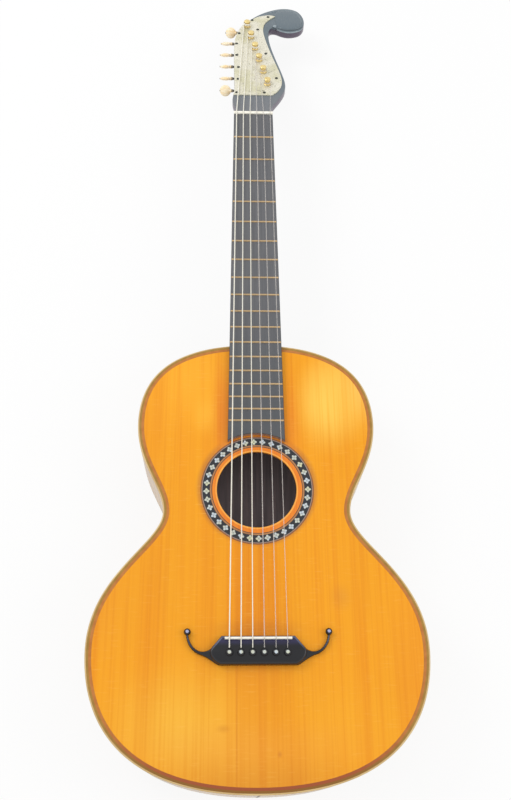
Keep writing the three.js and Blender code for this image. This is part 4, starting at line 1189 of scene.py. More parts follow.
@dataclass
class Neck:
    """Neck with its heel, fingerboard, frets and nut."""

    box: SoundBox
    scale: float = 620.0
    nut_width: float = 46.6
    octave_width: float = 55.4
    board: float = 5.0
    frets: int = 18
    # The shaft: its section turns from squarish to round behind the nut, and it grows deeper.
    root: float = 3.9
    round_run: float = 26.0
    squareness: Pair = (5.5, 2.4)
    depth: float = 15.5
    deeper: float = 3.5
    # The heel: where it starts and ends below the face, and its half width and reach at its foot.
    heel_start: float = -4.0
    foot: float = -78.8
    heel_reach: float = 46.0
    foot_half: float = 8.0
    foot_reach: float = 13.0
    # The board's end is hollowed round the rosette; the arc ends at this share of its radius.
    end_radius: float = 58.3
    end_share: float = 0.87
    nut_height: float = 6.9
    nut_step: float = 4.0
    string_spread: float = 40.2
    notch_depth: float = 0.45
    notch_half: float = 0.62

    def half_width(self, y: float) -> float:
        """Gives half the fingerboard's width at a place."""
        return (self.nut_width + (self.octave_width - self.nut_width) * (-y / (self.scale / 2))) / 2

    def build(self) -> None:
        """Builds the neck, the fingerboard, the frets and the nut."""
        self.build_shaft()
        self.build_board()
        self.build_frets()
        self.build_nut()

    def heel_size(self, z: float) -> Pair:
        """Gives the heel's half width and reach.

        Args:
            z: The height, which is below the soundboard.

        Returns:
            The half width and the reach.
        """
        fall = clamp((self.heel_start - z) / (self.heel_start - self.foot))
        swell = math.cos(fall * math.pi / 2)
        top = self.half_width(self.box.top_line) - 0.3
        return (self.foot_half + (top - self.foot_half) * swell,
                self.foot_reach + (self.heel_reach - self.foot_reach) * swell**3)

    def heel_width(self, y: float, z: float) -> float:
        """Gives the heel's half width at a place.

        Args:
            y: The place along the neck.
            z: The height.

        Returns:
            The half width, or 0 outside the heel.
        """
        wide, reach = self.heel_size(z)
        start = self.box.top_line - 4
        along = (y - start) / (self.box.top_line + reach - start)
        return wide * math.sqrt(max(0.0, 1 - along * along)) if z > self.foot - 0.01 else 0.0

    def section(self, y: float, levels: int = 26) -> Outline:
        """Gives one cross-section of shaft and heel.

        Args:
            y: The place along the neck.
            levels: How many steps each side has.

        Returns:
            The section, from the bass edge under to the treble edge.
        """
        first, last = self.squareness
        square = first + (last - first) * clamp((clamp(-y / self.round_run) - 0.5) * 2)
        run = self.box.top_line + self.heel_reach + self.round_run
        depth = self.depth + self.deeper * clamp((y + self.round_run) / run)
        width = self.half_width(y)
        bottom = depth
        while bottom < -self.foot and self.heel_width(y, -bottom - 0.25) > 0.05:
            bottom += 0.25
        bottom = min(bottom, -self.foot)
        half = []
        for k in range(levels + 1):
            z = -bottom * math.sin(math.pi / 2 * k / levels)
            shaft = width * max(0.0, 1 - min(-z / depth, 1) ** square) ** (1 / square)
            heel = self.heel_width(y, z)
            # Where both are there, a high power joins them with a small hollow.
            joined = max(shaft, heel) if min(shaft, heel) == 0 else (shaft**8 + heel**8) ** 0.125
            half.append((min(joined, width), z))
        return [Vector((-w, y, z)) for w, z in half] + [Vector((w, y, z)) for w, z in reversed(half)]

    def build_shaft(self) -> None:
        """Builds the carved neck and heel as one surface."""
        end, step = self.box.top_line, 1.25
        near = end + self.heel_reach + 4
        stops = [self.root, 0, -6, -13, -16, -19, -22, -26, *range(-40, -250, -15)]
        stops += [near - k * step for k in range(int((near - end) / step))]
        rings = [self.section(y) for y in stops]
        # The last ring lies on the curved ribs, a little way into them.
        last = self.section(end + 0.6)
        curve = [p for p in self.box.outline(60) if abs(p.x) < 40 and p.y > end - 19]
        for p in last:
            p.y = min((abs(q.x - p.x), q.y) for q in curve)[1] + 0.35
        tips = [Vector((0, self.root, -6))], [Vector((0, end + 0.35, -20))]
        shape = Shape().loft([tips[0], *rings, last, tips[1]])
        shape.build("neck_carved", [Stock.neck_wood], replaces=["neck"], sharp=50)

    def build_board(self, steps: int = 32, sides: int = 24) -> None:
        """Builds the ebony board and a brown facing on its hollowed end.

        Args:
            steps: How many pieces the end's arc has.
            sides: How many pieces each side has.
        """
        centre, reach = self.box.hole_line, self.end_radius
        far = self.half_width(centre + reach * self.end_share)
        arc = [Vector((x, centre + math.sqrt(reach**2 - x**2), 0))
               for x in (far - 2 * far * k / steps for k in range(steps + 1))]
        end = arc[0].y
        left = [Vector((-self.half_width(y), y, 0)) for y in (end * (k / sides) for k in range(sides))]
        right = [Vector((-p.x, p.y, 0)) for p in reversed(left)]
        board = Shape().slab([*right, *left, *reversed(arc)], round_over(0, self.board, 0.5, 3), top_finish=1)
        middle = Vector((0, centre, 0))
        facing = [*(middle + (p - middle) * (1 - 0.1 / reach) for p in arc), *reversed(arc)]
        brown_end = Shape().slab(facing, [(0, 0.1), (0, self.board - 0.55)])
        # The board's sides and rounded edges are painted darker as shade.
        board.build("fingerboard", [Stock.ebony_side_shade, Stock.ebony], replaces=["fretboard"], sharp=50)
        brown_end.build("board_end", [Stock.ebony_end])

    def build_frets(self) -> None:
        """Builds the brass bar frets, with rounded crowns and with ends that slope down."""
        frets, low = Shape(), self.board - 0.5
        for number in range(1, self.frets + 1):
            y = -self.scale * (1 - 2 ** (-number / 12))
            reach = self.half_width(y) - 0.45
            profile = [(y + math.cos(a), self.board + 1.1 * max(math.sin(a), 0) - 0.02)
                       for a in angles(0.5, 8)]
            bar = bar_along_x([*profile, (y - 0.9, low), (y + 0.9, low)],
                              [-reach, -reach + 0.5, reach - 0.5, reach])
            for p in bar.points:
                if abs(p.x) > reach - 0.1:
                    p.z = self.board + (p.z - self.board) * 0.35
            frets.join(bar)
        frets.build("frets", [Stock.fret_brass], sharp=50)

    def notch(self, x: float) -> float:
        """Gives the depth of the string notches at a place across the nut."""
        places = spread(STRINGS, self.string_spread)
        return max(self.notch_depth * max(0.0, 1 - ((x - p) / self.notch_half) ** 2) for p in places)

    def build_nut(self) -> None:
        """Builds the bone nut with a rounded back and a notch for each string."""
        high, thick = self.nut_height, self.nut_step
        profile = [(0, high - 0.3), (0.35, high), (1.1, high - 0.1), (2.2, high - 0.35), (3.2, high - 0.75),
                   (thick, high - 1.3), (thick, 0), (0, 0)]
        nut = bar_along_x(profile, spread(187, self.nut_width), self.notch)
        nut.build("nut_notched", [Stock.bone_white], replaces=["nut"], sharp=50)


@dataclass
class Station:
    """Place of one string post on the head."""

    number: int
    x: float
    t: float


@dataclass
class Head:
    """Scroll head with its metal plate and screws."""

    length: float = 224.0
    thickness: float = 12.0
    back_round: float = 4.5
    face_round: float = 0.8
    plate: float = 1.2
    first_post: float = 54.7
    spacing: float = 24.94
    post_xs: Pair = (-5.8, 18.2)
    worm_offset: float = 6.5
    worm_depth: float = 4.8
    button_reach: float = 11.0
    # Lines of the face, in shares of its length: the wood, then the plate's treble side and crown.
    outline_shares: tuple[Pair, ...] = (
        (0.094, -0.036), (0.094, 0), (0.1, 0.04), (0.123, 0.087), (0.154, 0.145), (0.177, 0.205),
        (0.18, 0.268), (0.164, 0.357), (0.135, 0.481), (0.112, 0.589), (0.099, 0.683), (0.101, 0.759),
        (0.116, 0.792), (0.138, 0.795), (0.17, 0.776), (0.207, 0.763), (0.25, 0.767), (0.29, 0.79),
        (0.311, 0.839), (0.307, 0.911), (0.277, 0.973), (0.223, 0.999), (0.161, 0.995), (0.088, 0.962),
        (0.027, 0.914), (-0.018, 0.862), (-0.054, 0.812), (-0.08, 0.748), (-0.098, 0.665), (-0.103, 0.562),
        (-0.103, 0.379), (-0.102, 0.205), (-0.108, 0.148), (-0.112, 0.108), (-0.107, 0.066), (-0.094, 0.027),
        (-0.087, 0), (-0.087, -0.036),
    )
    plate_shares: tuple[Pair, ...] = (
        (0.106, 0.146), (0.132, 0.174), (0.153, 0.212), (0.162, 0.254), (0.16, 0.308), (0.145, 0.384),
        (0.12, 0.482), (0.095, 0.589), (0.075, 0.692), (0.068, 0.768), (0.078, 0.83), (0.105, 0.873),
        (0.143, 0.911),
    )
    crown_shares: tuple[Pair, ...] = (
        (0.143, 0.911), (0.106, 0.921), (0.058, 0.91), (0.026, 0.893), (-0.001, 0.866),
    )
    screws: tuple[Pair, ...] = (
        (-19.9, 37), (-18.1, 64.3), (-17.6, 89.1), (-19.6, 114.9), (-19.8, 140.1), (-16.3, 163.4),
        (1.0, 194.1), (22.4, 201.9), (8.1, 172.4), (17.6, 118.8), (29.8, 67), (14.1, 37.3),
    )
    # Spaces of a machine in the wood, and the gap in which its parts run.
    pocket_radius: float = 5.2
    pivot_radius: float = 1.75
    pivot_reach: float = 4.9
    worm_tip: float = 2.95
    trough_half: float = 4.2
    bore_radius: float = 1.7
    bore_end: float = 7.6
    run: float = 0.35
    # The throat's depth, half width and squareness at the nut, each with its change along the run.
    throat: tuple[Pair, ...] = ((15.5, 1.9), (19.2, -0.4), (5.5, -2.3))
    throat_run: float = 36.0
    # The scroll's low dome: its middle, two points inside the face, and (share, height) of its rings.
    dome_middle: Pair = (0.218, 0.885)
    dome_inner: tuple[Pair, ...] = ((0.118, 0.93), (0.128, 0.86))
    dome_rings: tuple[Pair, ...] = (
        (0.84, -0.2), (0.83, 0.3), (0.8, 0.6), (0.7, 1.0), (0.5, 1.35), (0.25, 1.5),
    )

    def stations(self) -> list[Station]:
        """Gives the places of the posts, from the bass string's at the top.

        Returns:
            The six places.
        """
        low, high = self.post_xs
        last = STRINGS - 1
        return [Station(i + 1, high + (low - high) * (last - i) / last,
                        self.first_post + self.spacing * (last - i)) for i in range(STRINGS)]

    def outline(self, steps: int = 6) -> Outline:
        """Gives the outline of the head's face."""
        return smooth_line(self.outline_shares, steps, self.length)

    def spot(self, share: Pair) -> Vector:
        """Gives the place of a share of the head's length."""
        return Vector((*share, 0)) * self.length

    def bass_edge(self, t: float) -> float:
        """Gives the bass edge of the face beside a machine."""
        line = [p for p in self.outline() if p.x < 0 and p.y > -5]
        return min(line, key=lambda p: abs(p.y - t)).x

    def worm_edge(self, station: Station) -> float:
        """Gives the bass edge beside a machine's worm, counted from its post."""
        return self.bass_edge(station.t - self.worm_offset) - station.x

    def build(self) -> None:
        """Builds the wood, the plate and the screws."""
        self.build_wood()
        self.build_throat()
        self.build_scroll()
        self.build_eye()
        self.build_plate()
        self.build_screws()

    def build_wood(self) -> None:
        """Builds the head with its rounded back, then cuts the pockets of the machines."""
        foot, turn, edge = -self.thickness, self.back_round, self.face_round
        back, face = angles(0.25, 5), angles(0.25, 3)
        layers = [(turn * (1 - math.sin(a)), foot + turn * (1 - math.cos(a))) for a in back]
        layers += [(edge * (1 - math.cos(a)), -edge * (1 - math.sin(a))) for a in face]
        bands = [1] * len(back) + [0] * (len(face) - 1)
        wood = Shape().slab(self.outline(), layers, finish=1, top_finish=0, bands=bands)
        spaces = [space for station in self.stations() for space in self.pockets(station)]
        # The face and its rounded edge take the painted slate sheen; the back and sides are plum brown.
        wood.build("scroll_head", [Stock.head_wood_sheen, Stock.head_side], Zone.HEAD, replaces=["headstock"],
                   cutters=[self.nut_side(), *spaces])

    def nut_side(self) -> Shape:
        """Gives the block that trims the head behind the nut, square to the neck."""
        return Shape().slab(box_outline(-60, 60, -40, 0.35), [(0, -60), (0, 60)]).moved(
            Matrix.Rotation(BENCH.head_tilt, 4, "X"))

    def pockets(self, station: Station) -> list[Shape]:
        """Gives the spaces of one machine.

        Args:
            station: The machine's place.

        Returns:
            The spaces of wheel, pivot, worm and shaft.
        """
        # Every space is open above the face, and the bore passes the bass edge.
        above, edge = 4, self.worm_edge(station) - 4
        floor, foot = (-(self.worm_depth + reach + self.run) for reach in (self.worm_tip, self.pivot_reach))
        wheel = Shape().slab(circle(self.pocket_radius, 0, 0, 32), [(0, floor), (0, above)])
        pivot = Shape().slab(circle(self.pivot_radius, 0, 0, 20), [(0, foot), (0, above)])
        near, far = self.worm_tip - self.worm_offset, -self.worm_tip - self.run - self.worm_offset
        trough = box_outline(-self.trough_half, self.trough_half, far, near)
        worm = Shape().slab(trough, [(0, floor + APART), (0, above)])
        shaft = Matrix.Translation((0, -self.worm_offset, -self.worm_depth)) @ TO_TREBLE
        radius, end = self.bore_radius, self.bore_end
        bore = Shape().lathe([(0, edge), (radius, edge), (radius, end), (0, end)], 20, shaft)
        move = Matrix.Translation((station.x, station.t, 0))
        return [space.moved(move) for space in (wheel, pivot, worm, bore)]

    def build_scroll(self) -> None:
        """Carves the scroll: a low dome, a dark strip of painted shade for the cove before it, and a bead and
        a rim painted pale as a highlight.
        """
        line, size = self.outline(), self.length
        lobe = [p for p in line if p.y > 0.762 * size and p.x > 0.13 * size]
        lobe += [self.spot(share) for share in self.dome_inner]
        middle = self.spot(self.dome_middle)
        rings = [[middle + (p - middle) * share + Vector((0, 0, z)) for p in lobe]
                 for share, z in self.dome_rings]
        dome = Shape().loft([[middle - Vector((0, 0, 0.2))], *rings, [middle + Vector((0, 0, 1.53))]])
        front = [p for p in lobe if p.y < 0.86 * size and 0.14 * size < p.x < 0.306 * size]
        near, far = [], []
        for k, p in enumerate(front):
            around = line[(line.index(p) + 1) % len(line)] - line[line.index(p) - 1]
            inward = Vector((-around.y, around.x, 0)).normalized()
            deep = 0.3 + 2.6 * math.sin(math.pi * (k + 0.5) / len(front)) ** 0.7
            near.append(p + inward * 0.9)
            far.append(p + inward * (0.9 + deep))
        cove = Shape().slab([*near, *reversed(far)], [(0, -0.3), (0, 0.03)])
        bead = Shape().tube(raised(front, -1.5),
                            lambda share: 0.25 + 0.75 * math.sin(math.pi * share) ** 0.6, 12)
        edge = [p for p in inset(line, 3.6) if p.y > 0.86 * size and p.x > 0.08 * size][:-2]
        rim = Shape().tube(raised(edge, 0.02), lambda _: 0.45, 8)
        dome.build("scroll_dome", [Stock.head_wood_sheen], Zone.HEAD, sharp=60)
        cove.build("scroll_cove", [Stock.head_cove_shade], Zone.HEAD)
        bead.build("scroll_bead", [Stock.head_bead_highlight], Zone.HEAD, sharp=60)
        rim.build("scroll_rim", [Stock.head_bead_highlight], Zone.HEAD, sharp=60)

    def build_eye(self) -> None:
        """Turns the boss in the scroll's eye, painted pale as a highlight, on a thin dark disc of painted
        shade for its shallow pit.
        """
        eye, pit = (Matrix.Translation(self.spot(share)) for share in ((0.137, 0.812), (0.133, 0.793)))
        boss = Shape().lathe([(0, -0.3), (2.6, -0.3), (2.6, 0.3), (2.2, 0.9), (1.3, 1.35), (0, 1.5)], 24, eye)
        boss.lathe([(0, -0.3), (3.1, -0.3), (3.1, 0.05), (0, 0.05)], 24, pit, finish=1)
        boss.build("scroll_eye", [Stock.head_bead_highlight, Stock.head_cove_shade], Zone.HEAD, sharp=50)

    def build_throat(self, steps: int = 12, sides: int = 40) -> None:
        """Builds the swelling behind the nut that joins head and neck.

        Args:
            steps: How many stretches it has.
            sides: How many sides each section has.
        """
        start, run = BENCH.nut_step + 0.35, self.throat_run
        rings = []
        for fall in (k / steps for k in range(steps, -1, -1)):
            y = start + run * fall
            top = BENCH.head_rise - (y - BENCH.nut_step) * math.tan(BENCH.head_tilt) - 1.0
            depth, width, square = (first + change * fall for first, change in self.throat)
            ring = []
            for a in angles(0.5, sides):
                x = math.copysign(abs(math.cos(a)) ** (2 / square), math.cos(a))
                ring.append(Vector((-width * x, y, top - (depth + top) * abs(math.sin(a)) ** (2 / square))))
            rings.append(ring)
        throat = Shape().loft([[Vector((0, start + run, -12))], *rings, [Vector((0, start, -6))]])
        throat.build("head_throat", [Stock.head_side], sharp=50)

    def build_plate(self) -> None:
        """Builds the engraved plate with a hole for each post."""
        treble = smooth_line(self.plate_shares, 6, self.length)
        crown = smooth_line(self.crown_shares, 5, self.length)[1:]
        high, low = crown[-1].y, treble[0].y
        edge = [p for p in inset(self.outline(), 0.2) if p.x < 0 and low < p.y < high]
        outline = [*treble, *crown, *edge, Vector((edge[-1].x, low, 0))]
        holes = [circle(2.55, s.x, s.t, 24) for s in self.stations()]
        plate = Shape().slab(outline, round_over(0, self.plate, 0.25, 2), holes)
        plate.build("engraved_plate", [Stock.plate], Zone.HEAD, replaces=["tuner_plate"], sharp=30)

    def build_screws(self) -> None:
        """Builds the screws of the plate, each of two half domes with the slot between them."""
        screws = Shape()
        for k, (x, t) in enumerate(self.screws):
            # The slots point wherever the driver left them.
            move = Matrix.Translation((x, t, self.plate)) @ Matrix.Rotation(0.7 + 1.9 * k, 4, "Z")
            screws.lathe([(0, -0.1), (2.0, -0.1), (2.0, 0.02), (0, 0.05)], 20, move)
            half = [Vector((1.9 * math.cos(a), 0.22 + 1.7 * math.sin(a), 0)) for a in angles(0.5, 10)]
            for turn in (math.pi, 0):
                dome = Shape().slab(half, [(0, 0), (0.05, 0.25), (0.35, 0.42)])
                screws.join(dome.moved(move @ Matrix.Rotation(turn, 4, "Z")))
        screws.build("plate_screws", [Stock.screw], Zone.HEAD)


@dataclass
class Machine:
    """One tuning machine: post with wheel, worm on its shaft, and button."""

    station: Station
    head: Head
    teeth: int = 12
    wheel_radius: float = 4.2
    wheel_half: float = 1.5
    pivot: float = 3.4
    worm_radius: float = 2.3
    thread_turns: float = 3.0
    button_radius: float = 6.75
    # The post above the wheel: flange, spool and domed cap, in (radius, height).
    spool: tuple[Pair, ...] = (
        (2.2, 1.55), (4.2, 1.55), (4.5, 1.75), (4.5, 2.2), (4.2, 2.45), (3.5, 2.5), (3.3, 2.8), (3.3, 7.6),
        (3.0, 7.8), (3.0, 8.1), (3.7, 8.25), (3.9, 8.5), (3.9, 8.8), (3.4, 9.15), (2.4, 9.5), (2.1, 9.4),
        (1.0, 9.75), (0, 9.85),
    )
    # Each tooth from root to root, in (side, radius, share of the step).
    tooth: tuple[Triple, ...] = ((-1, 3.25, 0.25), (-1, 4.85, 0.1), (1, 4.85, 0.1), (1, 3.25, 0.25))
    # The thread's section, in (half pitches, radius).
    thread: tuple[Pair, ...] = ((-0.5, 1.15), (0.5, 1.15), (0.18, 2.95), (-0.18, 2.95))
    # The button is a lens on a neck, with a ferrule and, on its far side, the shaft's riveted end.
    lens: tuple[Pair, ...] = ((0, -2.4), (2.4, -2.25), (4.4, -1.75), (5.9, -1.15), (6.6, -0.6), (6.75, 0))
    button_neck: tuple[Pair, ...] = ((0, 2.0), (1.9, 3.0), (1.9, 6.2), (2.2, 7.0), (2.1, 7.4), (0, 7.4))
    ferrule: tuple[Pair, ...] = (
        (0, 5.9), (1.9, 7.3), (2.0, 7.5), (1.9, 8.2), (1.75, 9.6), (1.7, 9.95), (1.66, 9.95), (1.66, 6.0),
        (0, 6.0),
    )
    rivet: tuple[Pair, ...] = ((0, -7.25), (0.6, -7.2), (0.95, -6.9), (0.95, -5.5), (0, -5.5))
    button_turn: float = math.radians(56)

    def build(self) -> None:
        """Builds the three pieces."""
        self.build_post()
        self.build_worm()
        self.build_button()

    @property
    def worm_place(self) -> Matrix:
        """Gives the place of the worm, under the face and beside the post."""
        s, head = self.station, self.head
        return Matrix.Translation((s.x, s.t - head.worm_offset, -head.worm_depth))

    def finish(self, shape: Shape, name: str, finishes: list[Finish], rides: str, stands_for: str,
               sharp: float = 35) -> None:
        """Makes one piece of this machine; each of its three names is followed by the machine's number."""
        number = self.station.number
        shape.build(f"{name}_{number}", finishes, Zone.HEAD, f"{rides}_{number}",
                    [f"{stands_for}_{number}"], sharp)

    def build_post(self) -> None:
        """Turns the post over its toothed wheel."""
        foot = -(self.head.worm_depth + self.wheel_half)
        pivot = [(0, foot - self.pivot), (1.4, foot - self.pivot), (1.4, foot), (2.2, foot)]
        move = Matrix.Translation((self.station.x, self.station.t, 0))
        post = Shape().lathe([*pivot, *self.spool], 40, move).join(self.wheel().moved(move))
        self.finish(post, "post_turned", [Stock.brass], "post", "string_post")

    def wheel(self) -> Shape:
        """Gives the worm wheel, whose teeth lean with the thread.

        Returns:
            The wheel, round the post's axis.
        """
        step, lean = math.tau / self.teeth, self.wheel_half / (self.teeth * self.worm_radius)
        depth = -self.head.worm_depth
        rings, tips = [], []
        for side in (-1, 1):
            z = depth + side * self.wheel_half
            middles = (step * i - math.pi / 2 + side * lean for i in range(self.teeth))
            rings.append([circle_point(radius, (middle + flank * step * share) / math.tau) + Vector((0, 0, z))
                          for middle in middles for flank, radius, share in self.tooth])
            tips.append([Vector((0, 0, z))])
        return Shape().loft([tips[0], *rings, tips[1]])

    def build_worm(self, steps: int = 60) -> None:
        """Builds the steel shaft with its screw thread.

        Args:
            steps: How many stretches the thread has.
        """
        outer = self.head.worm_edge(self.station) - self.head.button_reach + self.button_radius + 3.2 - 4
        pitch = math.tau * self.wheel_radius / self.teeth
        profile = [(0, outer), (1.15, outer), (1.35, outer + 0.2), (1.35, 7.0), (1.15, 7.2), (0, 7.2)]
        shaft = Shape().lathe(profile, 24, self.worm_place @ TO_TREBLE)
        rings = []
        for k in range(steps + 1):
            turn = self.thread_turns * (k / steps - 0.5)
            angle = math.tau * (turn + 0.5)
            spin = Vector((0, math.cos(angle), math.sin(angle)))
            rings.append([Vector((pitch * (turn + share / 2), 0, 0)) + spin * radius
                          for share, radius in self.thread])
        first, last = ([sum(ring, Vector()) / len(ring)] for ring in (rings[0], rings[-1]))
        shaft.join(Shape().loft([first, *rings, last]).moved(self.worm_place))
        self.finish(shaft, "worm_cut", [Stock.steel], "worm", "worm_shaft")

    def build_button(self) -> None:
        """Turns the bone button; the first and the last stand a quarter turn from the others."""
        turn = self.button_turn - (math.pi / 2 if self.station.number in (1, STRINGS) else 0)
        out = Matrix.Translation((self.head.worm_edge(self.station) - self.head.button_reach, 0, 0))
        spin = self.worm_place @ out @ Matrix.Rotation(turn, 4, "X")
        lens = [*self.lens, *((radius, -z) for radius, z in reversed(self.lens[:-1]))]
        button = Shape().lathe(lens, 48, spin @ Matrix.Rotation(-math.pi / 2, 4, "X"))
        for profile, steps, finish in ((self.button_neck, 32, 0), (self.ferrule, 32, 1), (self.rivet, 16, 1)):
            button.lathe(profile, steps, spin @ TO_TREBLE, finish)
        self.finish(button, "button_bone", [Stock.bone_cream, Stock.ferrule], "worm", "tuner_button", 50)


@dataclass
class Bridge:
    """Ebony bridge with curled arms, saddle and pins."""

    span: float = 132.8
    width: float = 26.4
    front: float = -619.2
    height: float = 8.0
    wing: float = 4.0
    ball: float = 3.3
    saddle_line: float = -622.0
    saddle_top: float = 11.0
    saddle_half: float = 1.1
    saddle_length: float = 62.8
    pin_line: float = -634.8
    string_spread: float = 54.0
    # Edges of the arms and of the raised block, in shares of the half span and of the width.
    upper: tuple[Pair, ...] = (
        (0.518, 0), (0.599, 0.235), (0.675, 0.439), (0.753, 0.523), (0.828, 0.508), (0.896, 0.409),
        (0.944, 0.258), (0.976, 0.068), (0.985, -0.102),
    )
    lower: tuple[Pair, ...] = (
        (1.018, -0.102), (1.012, 0.049), (0.988, 0.25), (0.937, 0.439), (0.866, 0.583), (0.78, 0.667),
        (0.702, 0.769), (0.63, 0.886), (0.566, 0.985), (0.512, 1),
    )
    block: tuple[Pair, ...] = (
        (0.518, 0), (0.6, 0.24), (0.655, 0.4), (0.68, 0.52), (0.672, 0.68), (0.63, 0.84), (0.58, 0.94),
        (0.53, 1),
    )
    # A pin and the pearl eye in its head, in (radius, height over the bridge).
    pin: tuple[Pair, ...] = (
        (0, -21), (1.9, -20.8), (2.5, -0.1), (3.3, 0.1), (3.5, 0.6), (3.45, 1.3), (3.0, 2.1), (2.2, 2.6),
        (1.6, 2.82),
    )
    pin_eye: tuple[Pair, ...] = ((1.6, 2.82), (0.8, 2.97), (0, 3.0))

    def edge(self, shares: Sequence[Pair], steps: int) -> Outline:
        """Gives a smooth edge on the treble side through shares of the half span and of the width."""
        return smooth_line([(x * self.span / 2, self.front - y * self.width) for x, y in shares], steps)

    def build(self) -> None:
        """Builds the bridge, the saddle and the pins."""
        self.build_bridge()
        self.build_saddle()
        self.build_pins()

    def build_bridge(self) -> None:
        """Builds the carved arms, the raised block with its painted edge sheen and deck reflection, and the
        two ball tips with their pearl eyes, which also paint the balls' highlight.
        """
        rise = [(0, 0), (0, 2.6), (0.25, 3.3), (0.7, 3.8), (1.0, self.wing)]
        arms = mirrored(self.edge(self.upper, 5) + self.edge(self.lower, 5))
        bridge = Shape().slab(arms, rise, bands=[0, 0, 0, 1])
        layers = [(0.12, 0.2), (0.12, 5.6), (0.5, 6.8), (1.3, 7.7), (2.2, self.height)]
        bridge.slab(mirrored(self.edge(self.block, 3)), layers, bands=[0, 0, 1, 1], top_finish=3)
        r = self.ball
        ball = [(0, -r), *((r * math.sin(a), -r * math.cos(a)) for a in angles(0.5, 14)[1:-1]), (0, r)]
        eye = [(0, 2.7), (1.7, 2.75), (1.2, 3.1), (0.6, 3.27), (0, 3.3)]
        for side in (-1, 1):
            place = Matrix.Translation((side * self.span / 2, self.front + 0.102 * self.width + 1.3, r))
            bridge.lathe(ball, 28, place)
            bridge.lathe(eye, 24, Matrix.Translation((0, 0, 0.04)) @ place, finish=2)
        finishes = [Stock.bridge_wood, Stock.bridge_edge, Stock.pearl_eye_highlight, Stock.bridge_deck_reflection]
        bridge.build("bridge_carved", finishes, replaces=["bridge"], sharp=35)

    def build_saddle(self) -> None:
        """Builds the bone saddle with a rounded crest."""
        y, r = self.saddle_line, self.saddle_half
        foot, turn = self.wing + 0.1, self.saddle_top - self.saddle_half
        crest = [(y + r * math.cos(a), turn + r * math.sin(a)) for a in angles(0.5, 8)]
        saddle = bar_along_x([*crest, (y - r, foot), (y + r, foot)], spread(41, self.saddle_length))
        saddle.build("saddle_bone", [Stock.bone_white], replaces=["saddle"], sharp=50)

    def build_pins(self) -> None:
        """Turns the pins, each with a pearl eye in its head."""
        for number, x in enumerate(spread(STRINGS, self.string_spread), 1):
            place = Matrix.Translation((x, self.pin_line, self.height))
            pin = Shape().lathe(self.pin, 32, place).lathe(self.pin_eye, 32, place, 1)
            pin.build(f"pin_turned_{number}", [Stock.bridge_wood, Stock.pearl],
                      replaces=[f"bridge_pin_{number}"], sharp=50)


@dataclass
class StringSet:
    """Three wound and three plain strings, each wound on its post."""

    neck: Neck
    head: Head
    bridge: Bridge
    diameters: tuple[float, ...] = (1.25, 1.1, 0.95, 1.0, 0.85, 0.75)
    wound: int = 3
    lift: float = 0.3
    turns: float = 2.5
    turn_steps: int = 40
    spool: float = 3.3
    spool_foot: float = 2.45
    turn_gap: float = 0.45

    def route(self, number: int) -> list[Vector]:
        """Gives one string's path from its pin over saddle and nut to the end of its turns.

        Args:
            number: The string's number, counted from 0 at the bass.

        Returns:
            The path, in the body's frame.
        """
        radius = self.diameters[number] / 2
        rise = radius + self.lift
        low = spread(STRINGS, self.bridge.string_spread)[number]
        high = spread(STRINGS, self.neck.string_spread)[number]
        y, z, nut = self.bridge.saddle_line, self.bridge.saddle_top + rise, self.neck.nut_height + rise
        path = [Vector(point) for point in (
            (low, self.bridge.pin_line + 4.1, self.bridge.height + rise), (low, y - 1.1, z - 0.9),
            (low, y - 0.5, z - 0.1), (low, y, z), (low, y + 0.8, z), (high, -0.5, nut),
            (high, 1, nut - 0.08), (high, 2, nut - 0.3))]
        station = self.head.stations()[number]
        # The treble string runs on the other side of its post.
        side, first = (1, 0) if number == STRINGS - 1 else (-1, 0.5)
        coil, pitch = self.spool + self.lift + radius + 0.1, 2 * radius + self.turn_gap
        to_body = BENCH.matrix(Zone.BODY).inverted() @ BENCH.matrix(Zone.HEAD)
        for turn in (k / self.turn_steps for k in range(round(self.turns * self.turn_steps) + 1)):
            middle = Vector((station.x, station.t, self.spool_foot + rise + pitch * turn))
            path.append(to_body @ (circle_point(coil, side * turn + first) + middle))
        return path

    def build(self) -> None:
        """Builds the six strings."""
        for number, diameter in enumerate(self.diameters):
            finish = Stock.wound if number < self.wound else Stock.gut
            string = Shape().tube(self.route(number), lambda _: diameter / 2, 10)
            string.build(f"string_strung_{number + 1}", [finish], replaces=[f"string_{number + 1}"], sharp=60)


